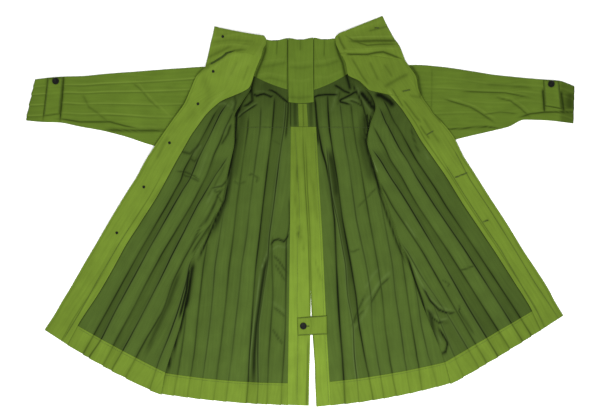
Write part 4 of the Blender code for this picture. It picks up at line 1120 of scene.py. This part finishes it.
neckRight = {
    "top": 2.5, "tone": 0.86, "columns": 46, "tuck": 5, "edges": ("lastColumn", "lastRow", "firstRow"),
    "scallop": (67, 30, 3.5),
    "sections": [(37, 477, 113, 474, 0), (37, 438, 117, 438, 0), (37, 398, 131, 404, 0),
        (37, 334, 136, 382, 4)],
    "creases": [
        (-0.3, 0.35, 1.8, 0, [(67, 482), (67, 455), (66, 422)]),
        (0.7, -0.14, 5, 0, [(30, 411), (72, 416), (113, 427)]),
        (0, 0.16, 5, 0, [(30, 397), (77, 403), (118, 419)]),
        (0.6, -0.16, 4, 0, [(30, 372), (77, 370), (124, 392)]),
        (0, 0.6, 4.5, 0, [(94, 477), (106, 433), (117, 408), (129, 350)]),
        (0, 0.75, 1.7, 0, [(37, 499), (37, 416), (37, 306)]),
    ],
}
boxPleat = {
    "top": 3.6, "tone": 0.86, "columns": 46, "tuck": 5,
    "edges": ("firstColumn", "lastColumn", "lastRow", "firstRow"),
    "scallop": (1, 32, 4.0),
    "sections": [(-32, 476, 36, 477, 1), (-32, 400, 36, 400, 1), (-31, 301, 37, 301, 3)],
    "creases": [
        (0.5, -0.12, 5, 0, [(-38, 411), (0, 408), (41, 414)]),
        (0, 0.14, 5, 0, [(-38, 397), (3, 394), (41, 400)]),
        (0.4, -0.12, 4, 0, [(-38, 364), (0, 359), (41, 367)]),
        (-0.3, 0.25, 1.8, 0, [(0, 482), (1, 460), (0, 438)]),
        (0, 0.18, 5, 0, [(-38, 315), (0, 312), (41, 317)]),
    ],
}
centreStrip = {
    "sections": [(-5, 296, 18, 296, 0), (-3, 233, 22, 233, 0)],
    "creases": [(-0.2, 0.35, 1.4, 0, [(7.5, 306), (8, 296), (9, 262), (10, 233), (10, 222)])],
    "top": 2.5, "tone": 0.8, "columns": 24, "tuck": 3, "edges": ("firstColumn", "lastColumn"),
}


def borderShade(x, y):
    # painted shade: a dark rim, and a dark line along the stitches 2.6 mm inside it
    sides = ((x[:1], y[:1]), (x[-1:], y[-1:]), (x[:, :1], y[:, :1]), (x[:, -1:], y[:, -1:]))
    rim = np.min([np.hypot(x - sideX, y - sideY) for sideX, sideY in sides], axis=0)
    return 0.55 * np.exp(-(rim / 0.9) ** 2) + 0.35 * np.exp(-((rim - 2.6) / 0.8) ** 2)


def layFlat(name, panel, face):
    # a small flat piece; its first edge is scalloped by depth * cos squared where the panel says so
    rows = fineRows(panel["sections"], 2.0)
    shares = np.tile(np.linspace(0, 1, panel["columns"]), (len(rows), 1))
    x, y, spans = planAt(panel["sections"], rows, shares)
    lift, dark, light = creaseField(x, y, panel["creases"])
    z = panel["top"] + np.clip(lift, -0.4, 2) + np.abs(softLoft(x, y, 71, 55, 0.4))
    if "scallop" in panel:
        centre, half, depth = panel["scallop"]
        dip = depth * np.cos(np.clip((x - centre) / half, -1, 1) * np.pi / 2) ** 2
        y = y - dip * (1 - smoothStep(rows, 0, 0.5))[:, None]
    if panel.get("stitched"):
        dark = np.maximum(dark, borderShade(x, y))
    edges = [(edge, 0.42, panel["tuck"]) for edge in panel["edges"]]
    # one painted light-and-shade tone over the whole piece
    layCloth(name, turnEdges((x, y, z, dark, light, panel["tone"] + 0 * x), edges), face, name, wall=0)
    return x, y, z


layFlat("neck_facing_left", neckLeft, "outside")
layFlat("neck_facing_right", neckRight, "outside")
layFlat("neck_box_pleat", boxPleat, "outside")
layFlat("centre_strip", centreStrip, "facing")
print("neck laid")


# Sections, cuff to armhole: upper edge x, y, lower edge x, y. Cuff shade: x from, x to, how much darker.
sleeveLeft = {
    "sections": [
        (-727, 365, -753, 248), (-693, 369, -707, 244), (-650, 372, -663, 243), (-600, 373, -605, 232),
        (-536, 379, -544, 221), (-468, 384, -481, 205), (-393, 390, -418, 184), (-324, 395, -363, 169),
        (-258, 399, -308, 156), (-203, 396, -255.7, 147),
    ],
    "seed": 83, "loft": 0.6, "tone": 0.88, "pleats": 1.0, "cuffShade": (-700, -752, 0.12),
    "creases": [
        (1.0, -0.28, 2.2, 0, [(-468, 372), (-440, 348), (-426, 331), (-407, 309), (-385, 290),
            (-341, 246)]),
        (-0.4, 0.28, 2.2, 0, [(-470, 361), (-440, 337), (-412, 304), (-377, 273)]),
        (0.6, 0.25, 4, 4, [(-605, 328), (-583, 284), (-564, 271), (-525, 240)]),
        (-0.9, 0.6, 2.4, 0, [(-688, 255), (-654, 254), (-605, 246), (-522, 246), (-481, 235),
            (-426, 225)]),
        (-0.9, 0.6, 3.6, 0, [(-548, 225), (-495, 223), (-426, 222), (-352, 222)]),
        (0.5, -0.22, 3, 0, [(-484, 232), (-418, 232), (-358, 235)]),
        (0, 0.3, 7, 0, [(-297, 334), (-314, 301), (-336, 262), (-363, 218)]),
        (-0.2, 0.75, 2.8, 0, [(-648, 389), (-653, 312), (-661, 235)]),
        (-0.2, 0.4, 2.0, 0, [(-694, 389), (-699, 312), (-708, 235)]),
    ],
}
sleeveRight = {
    "sections": [
        (754, 346, 751, 240), (711, 361, 722, 244), (668, 364, 676, 249), (616, 368, 618, 251),
        (575, 372, 574, 232), (536, 376, 522, 219), (468, 387, 462, 205), (385, 399, 377, 183),
        (316, 404, 327, 166),
        (228, 398, 279, 152),
    ],
    "seed": 97, "loft": 0.6, "tone": 0.83, "pleats": 0.35, "cuffShade": (708, 722, 0.3),
    "creases": [
        (0, 0.55, 5, 0, [(280, 427), (308, 397), (324, 372), (329, 339), (338, 304)]),
        (-0.2, 0.22, 1.8, 0, [(363, 400), (363, 334), (360, 268)]),
        (-0.6, 0.5, 2.2, 0, [(432, 331), (495, 328), (564, 326), (646, 310)]),
        (0.7, -0.22, 2.2, 0, [(437, 336), (500, 334), (566, 331), (641, 319)]),
        (-0.7, 0.5, 2.6, 0, [(385, 312), (434, 297), (468, 287), (495, 271), (544, 238)]),
        (1.0, -0.28, 2.6, 0, [(390, 317), (440, 304), (478, 291), (509, 273), (550, 246)]),
        (-0.6, 0.45, 2.4, 0, [(531, 315), (578, 304), (605, 284), (638, 254)]),
        (0.8, -0.22, 2.4, 0, [(536, 320), (586, 309), (613, 290), (641, 265)]),
        (-0.5, 0.35, 2.4, 0, [(495, 265), (550, 273), (605, 268)]),
        (-0.9, 0.65, 2.4, 0, [(767, 273), (715, 273), (674, 273), (632, 268), (591, 254)]),
        (0.6, -0.2, 2.4, 0, [(762, 280), (701, 280), (638, 275)]),
        (-0.4, 0.85, 3.0, 0, [(666, 342), (668, 318), (670, 296), (672, 266)]),
        (0, 0.75, 3.4, 0, [(717, 336), (719, 318), (722, 296), (725, 268)]),
        (0, 0.6, 3, 0, [(660, 329), (676, 331), (700, 325), (722, 322)]),
        (0, 0.45, 14, 0, [(742, 330), (741, 300), (741, 276)]),
        (0, 0.4, 2, 0, [(754, 360), (754, 300), (752, 230)]),
        (-0.3, 0.25, 5, 0, [(500, 350), (580, 345), (650, 338)]),
        (-0.7, 0.6, 2.2, 0, [(388, 225), (440, 228), (509, 233), (561, 227)]),
    ],
}
# Folds: share of the section at the cuff, elbow and armhole, rise, painted highlight.
sleeveFolds = [
    (0.03, 0.02, 0.02, 0.0, 0), (0.19, 0.16, 0.12, 1.3, 0.4), (0.23, 0.20, 0.16, 0.1, 0),
    (0.37, 0.30, 0.24, 1.3, 0.45), (0.41, 0.34, 0.28, 0.1, 0), (0.62, 0.49, 0.39, 1.3, 0.4),
    (0.66, 0.53, 0.43, 0.1, 0), (0.87, 0.66, 0.54, 1.2, 0.35), (0.90, 0.70, 0.58, 0.1, 0),
    (0.94, 0.84, 0.78, 0.3, 0), (0.97, 0.98, 0.98, 0.0, 0),
]
sleeveTop = 3.2         # top of the upper layer between its pleats
sleeveBottom = 0.3


def sleeveSurface(panel, rows, columns):
    # upper layer of a flattened sleeve: straight pleat faces between the folds, eased at the folds, with a
    # painted highlight on each fold and painted shade 4 mm beside it
    count = len(panel["sections"])
    s = easeThrough(np.arange(count), panel["sections"], rows)
    folds = np.array([fold[:4] for fold in sleeveFolds], float)
    at = easeThrough((0, count // 2, count - 1), folds[:, :3].T, rows)
    t = faceSteps(columns)
    rng = np.random.default_rng(panel["seed"])
    along = np.linspace(0, 2 * np.pi, len(rows))[:, None]
    count = len(folds)
    waves = [np.sin(along * rng.uniform(0.7, 3.2, count) + rng.uniform(0, 6.3, count)) for _ in range(3)]
    drift = sum(waves) / 3
    high = folds[:, 3] * (1 + 0.45 * drift) * panel["pleats"]
    shares, z = [between(ends, t) for ends in (at, high)]
    start, chord = s[:, None, 0:2], s[:, None, 2:4] - s[:, None, 0:2]
    xy = start + chord * shares[..., None]
    length = np.linalg.norm(chord, axis=2)
    reach = (shares[:, :, None] - at[:, None, :]) * length[:, :, None]
    highlight = np.array([fold[4] for fold in sleeveFolds]) * (1 + 0.5 * drift) * panel["pleats"]
    light = (highlight[:, None, :] * np.exp(-(reach / 2.0) ** 2)).max(axis=2)
    dark = (0.5 * highlight[:, None, :] * np.exp(-((reach - 4.0) / 2.2) ** 2)).max(axis=2)
    return xy[..., 0], xy[..., 1], z, dark, light, start, chord


def laySleeve(side, panel):
    rows = fineRows(panel["sections"], 3.2)
    x, y, z, dark, light, start, chord = sleeveSurface(panel, rows, 9)
    # pressed ridges stand out a little at the cuff's edge
    x = x + np.sign(panel["cuffShade"][1]) * 1.6 * z * (1 - smoothStep(rows, 0, 0.5))[:, None]
    lift, creaseShade, creaseHighlight = creaseField(x, y, panel["creases"])
    z = sleeveTop + z + np.clip(lift, -1.4, 2) + looseness(panel, x, y, 70)
    # painted light and shade: the sleeve's tone, darker over the cuff's end
    near, far, amount = panel["cuffShade"]
    tone = panel["tone"] - amount * smoothStep(np.sign(far) * x, abs(near), abs(far))
    # half circles at the long edges and an under layer near the floor close the tube
    turn = np.linspace(0.08, 0.92, 7) * np.pi
    length = np.linalg.norm(chord, axis=2)
    out = chord / length[..., None] * (0.015 * length * np.sin(turn))[..., None]
    under = start + chord * np.linspace(0.96, 0.04, 14)[None, :, None]
    top = np.stack([x, y], axis=-1)
    plan = np.concatenate([top, top[:, -1:] + out, under, (top[:, :1] - out)[:, ::-1]], axis=1)
    half = [(z[:, edge, None] - sleeveBottom) / 2 for edge in (0, -1)]
    first, last = [sleeveBottom + radius * (1 + np.cos(turn)) for radius in half]
    ringZ = np.concatenate([z, last, np.full(under.shape[:2], sleeveBottom), first[:, ::-1]], axis=1)
    extra = plan.shape[1] - x.shape[1]
    marks = [np.pad(mark, ((0, 0), (0, extra)))
             for mark in (np.maximum(dark, creaseShade), np.maximum(light, creaseHighlight))]
    ringTone = np.pad(tone, ((0, 0), (0, extra)), mode="edge")
    layCloth("sleeve_shell_" + side, (plan[..., 0], plan[..., 1], ringZ, *marks, ringTone), "outside",
             "sleeve_" + side, ring=True)
    return rows, x, y, z


sleeves = {"left": laySleeve("left", sleeveLeft), "right": laySleeve("right", sleeveRight)}
print("sleeves laid")


cuffTabs = {
    "rows": (1, 2),
    "left": {"across": 0.92, "tone": 0.9},
    "right": {"across": 0.76, "tone": 0.86},
}
ventTab = {
    "sections": [(-8, -292, 74, -286, 0), (-6, -341, 75, -337, 0)],
    "creases": [
        (0, 0.8, 1.2, 0, [(17, -315), (27, -315)]),
        (0.3, 0.2, 2, 1, [(30, -340), (32, -315), (30, -290)]),
    ],
    "top": 4.2, "tone": 1.0, "columns": 46, "stitched": True,
    "edges": ("firstRow", "lastRow", "firstColumn", "lastColumn"), "tuck": 3,
}


def layTab(side):
    # the cuff tab follows the sleeve under it, from the upper edge as far as its own share
    rows, x, y, z = sleeves[side]
    keep = (rows >= cuffTabs["rows"][0]) & (rows <= cuffTabs["rows"][1])
    reach = cuffTabs[side]["across"] * abs(y[0, -1] - y[0, 0])
    width = int((np.abs(y[0] - y[0, 0]) <= reach).sum())
    x, y, z = [part[keep][:, :width] for part in (x, y, z)]
    z = z + layerStep + 0.25
    # painted shade at the tab's rim and along its stitches, and one painted light-and-shade tone
    grid = (x, y, z, borderShade(x, y), 0 * x, cuffTabs[side]["tone"] + 0 * x)
    edges = [(edge, 0.45, 3) for edge in ("firstRow", "lastRow", "firstColumn", "lastColumn")]
    layCloth("cuff_tab_" + side, turnEdges(grid, edges), "outside", "cuff_tab_" + side, wall=0)
    return x, y, z


tabs = {"left": layTab("left"), "right": layTab("right"), "vent": layFlat("vent_tab", ventTab, "facing")}
print("tabs laid")


def sewRow(surface, points, pitch=stitch["pitch"], length=stitch["length"], above=sewnAbove, shift=0):
    # the path's height is that of the nearest point of the surface
    sx, sy, sz = [part.ravel() for part in surface]
    line = np.array(points, float)
    run = np.insert(np.linalg.norm(np.diff(line, axis=0), axis=1).cumsum(), 0, 0)
    at = np.linspace(0, run[-1], max(3, int(run[-1] / 2.5)))
    px, py = np.interp(at, run, line[:, 0]), np.interp(at, run, line[:, 1])
    ahead = np.stack([np.gradient(px), np.gradient(py)])
    ahead /= np.linalg.norm(ahead, axis=0)
    px, py = px - shift * ahead[1], py + shift * ahead[0]
    near = ((sx[None, :] - px[:, None]) ** 2 + (sy[None, :] - py[:, None]) ** 2).argmin(axis=1)
    return stitchRow(px, py, sz[near] + above, pitch, length)


def hemRow(panel):
    # the hem's stitches run just below the upper edge of its facing
    return np.array([len(panel["sections"]) - 1.9])


def alongHem(panel, first, last):
    x, y, spans = planAt(panel["sections"], hemRow(panel), np.linspace(first, last, 60)[None, :])
    return np.stack([x[0], y[0]], axis=1)


def buttonhole(surface, start, end):
    # a slit, with short stitches close together along both sides
    slit = sewRow(surface, (start, end), 0.9, 1.5, 0.1)
    return [slit] + [sewRow(surface, (start, end), 0.9, 0.7, 0.1, shift) for shift in (-1.3, 1.3)]


def sewEdges(surface):
    x, y, z = surface
    return [stitchRow(x[i, 2:-2], y[i, 2:-2], z[i, 2:-2] + sewnAbove) for i in (1, -2)]


yokeY = 230.5
for side, panel in (("left", frontLeft), ("right", frontRight)):
    rows = [sewRow(facings[side], line) for line in panel["placket"]]
    for start, end in panel["holes"]:
        rows += buttonhole(facings[side], start, end)
    joinRows("placket_stitches_" + side, rows)
    inner = float(sectionValues(panel["sections"], 7, 8, hemRow(panel))[0, 0])
    hem = sewRow(hemTops["front_" + side], alongHem(panel, 0.02, inner - 0.01))
    joinRows("front_hem_stitches_" + side, [hem])
for side, panel in (("left", backLeft), ("right", backRight)):
    yoke = sewRow(backs[side], [(end, yokeY) for end in panel["yoke"]])
    joinRows("yoke_stitches_" + side, [yoke])
    hem = sewRow(hemTops["back_" + side], alongHem(panel, panel["hemFrom"], 0.97))
    joinRows("back_hem_stitches_" + side, [hem])
    vent = sewRow(hemTops["vent_" + side], panel["ventSeam"])
    joinRows("vent_stitches_" + side, [vent])
    joinRows("tab_stitches_" + side, sewEdges(tabs[side]))
rows = sewEdges(tabs["vent"]) + buttonhole(tabs["vent"], (19, -315), (25, -315))
joinRows("vent_tab_stitches", rows)
rows = buttonhole(collars["right"], (206, 504), (217, 504))
joinRows("collar_buttonhole", rows, darkThread)
print("sewing done")


buttonShape = {
    "edge": 0.9,                        # radius of the rounded edge, and how deep the face is dished
    "rimAt": 0.8, "rim": (0.3, 2.2),    # share of the radius, and how the rim falls off
    "holesAt": 2.3, "holeDeep": 1.3, "holeWide": 0.85,
    "thread": 1.63, "threadDown": 0.75,     # a bar of thread: from the middle, and below the rim
}


def turnedButton(name):
    # a surface of revolution: raised rim, dished face with four sunk holes, rounded edge, flat back;
    # a hole goes down by its depth * exp(-(distance / its width) to the power 4)
    node, shape = nodes[name], buttonShape
    points = np.empty(len(node.data.vertices) * 3, np.float32)
    node.data.vertices.foreach_get("co", points)
    place = np.array(node.matrix_world)
    points = points.reshape(-1, 3) @ place[:3, :3].T + place[:3, 3]
    low, high = points.min(axis=0) / mm, points.max(axis=0) / mm
    centre, radius = (low + high) / 2, (high[0] - low[0]) / 2
    turn = np.linspace(0, 2 * np.pi, 57)[:-1]
    bend = np.linspace(0.1, np.pi / 2, 6)
    face = np.linspace(0.02, radius - shape["edge"], 34)
    r = np.concatenate([face, radius - shape["edge"] * (1 - np.sin(bend)), [radius, radius * 0.6, 0.02]])
    rim = 1 - smoothStep(np.abs(face - radius * shape["rimAt"]), *shape["rim"])
    edge = high[2] - shape["edge"] * (1 - np.cos(bend))
    z = np.concatenate([high[2] - shape["edge"] * (1 - rim), edge, [low[2]] * 3])
    x, y = centre[0] + r[:, None] * np.cos(turn), centre[1] + r[:, None] * np.sin(turn)
    z = z[:, None] + 0 * x
    for angle in np.pi * np.array([0.25, 0.75, 1.25, 1.75]):
        hole = centre[:2] + shape["holesAt"] * np.array([np.cos(angle), np.sin(angle)])
        away = np.hypot(x - hole[0], y - hole[1])[:len(face)]
        z[:len(face)] -= shape["holeDeep"] * np.exp(-(away / shape["holeWide"]) ** 4)
    verts = np.stack([x, y, z], axis=-1).reshape(-1, 3)
    quads = gridQuads(len(r), len(turn), ring=True)
    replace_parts(putMesh(name + "_turned", verts, quads, [blackButton]), name)
    barX = centre[0] + shape["thread"] * np.linspace(-1.6, 1.6, 5)
    threadZ = high[2] - shape["threadDown"]
    bars = [stitchRow(barX, np.full(5, centre[1] + offset), np.full(5, threadZ), 3.5, 3.4)
            for offset in (-shape["thread"], shape["thread"])]
    joinRows(name + "_thread", bars, darkThread)


for name, node in nodes.items():
    if "button" in name:
        node.data.materials.clear()
        node.data.materials.append(blackButton)
for name in ("cuff_button_left", "cuff_button_right", "vent_button"):
    turnedButton(name)
print("buttons finished")


# each sheet's cut of what shows: width, length, area
sheetCuts = {
    "back_panel_left": (0.43, 1.06, 0.315), "back_panel_right": (0.42, 1.06, 0.293),
    "vent_facing_left": (0.078, 0.80, 0.049), "vent_facing_right": (0.06, 0.80, 0.038),
    "back_hem_left": (0.42, 0.08, 0.0255), "back_hem_right": (0.41, 0.09, 0.027),
    "front_panel_left": (0.38, 0.96, 0.252), "front_panel_right": (0.37, 1.00, 0.255),
    "front_facing_left": (0.16, 0.96, 0.085), "front_facing_right": (0.18, 0.98, 0.081),
    "front_hem_left": (0.29, 0.085, 0.0215), "front_hem_right": (0.29, 0.085, 0.021),
    "collar_end_left": (0.16, 0.10, 0.0134), "collar_end_right": (0.185, 0.11, 0.0182),
    "neck_facing_left": (0.115, 0.14, 0.0123), "neck_facing_right": (0.115, 0.14, 0.0124),
    "neck_box_pleat": (0.082, 0.19, 0.0152), "centre_strip": (0.033, 0.065, 0.0021),
    "sleeve_shell_left": (0.52, 0.56, 0.186), "sleeve_shell_right": (0.50, 0.53, 0.171),
    "cuff_tab_left": (0.052, 0.116, 0.0058), "cuff_tab_right": (0.050, 0.090, 0.0043),
    "vent_tab": (0.092, 0.06, 0.0053),
}
for name, (width, length, area) in sheetCuts.items():
    kind, side = name.rsplit("_", 1)


studio = {
    "floorHalf": 6,
    "world": 1.05,
    "key": {"place": (0.1, -1.15, 1.7), "size": 0.8, "power": 44},
    "fill": {"place": (-0.3, 1.1, 2.8), "size": 1.6, "power": 22},
    "aim": (0, -0.05, 0),
    "lens": 100, "sensor": 36, "distance": 4.583, "centreY": 0.00385,
}


def addFloor():
    # matt white paper, a touch uneven
    half = studio["floorHalf"]
    mesh = bpy.data.meshes.new("floor")
    corners = [(-half, -half, 0), (half, -half, 0), (half, half, 0), (-half, half, 0)]
    mesh.from_pydata(corners, [], [(0, 1, 2, 3)])
    floor = bpy.data.objects.new("floor", mesh)
    bpy.context.scene.collection.objects.link(floor)
    material, tree = newMaterial("white_floor")
    grey = spread(tree, noiseAt(tree, objectPlace(tree), 6.0, 2.0), 0.90, 0.92, 0, 1)
    mesh.materials.append(finish(material, {"Base Color": shaded(tree, "#ffffff", grey), "Roughness": 0.9}))


def addLight(name, place, size, power):
    data = bpy.data.lights.new(name, "AREA")
    data.shape = "SQUARE"
    data.size = size
    data.energy = power
    light = bpy.data.objects.new(name, data)
    light.location = place
    light.rotation_euler = (Vector(studio["aim"]) - Vector(place)).to_track_quat("-Z", "Y").to_euler()
    bpy.context.scene.collection.objects.link(light)


def addSky():
    world = bpy.data.worlds.new("studio")
    world.use_nodes = True
    background = world.node_tree.nodes["Background"]
    background.inputs["Color"].default_value = (1, 1, 1, 1)
    background.inputs["Strength"].default_value = studio["world"]
    bpy.context.scene.world = world
    bpy.context.scene.view_settings.view_transform = "Standard"


def addCamera():
    data = bpy.data.cameras.new("camera")
    data.lens = studio["lens"]
    data.sensor_width = studio["sensor"]
    camera = bpy.data.objects.new("camera", data)
    camera.location = (0, studio["centreY"], studio["distance"])
    bpy.context.scene.collection.objects.link(camera)
    bpy.context.scene.camera = camera


addFloor()
addSky()
addLight("key", **studio["key"])
addLight("fill", **studio["fill"])
addCamera()
print("stage ready")
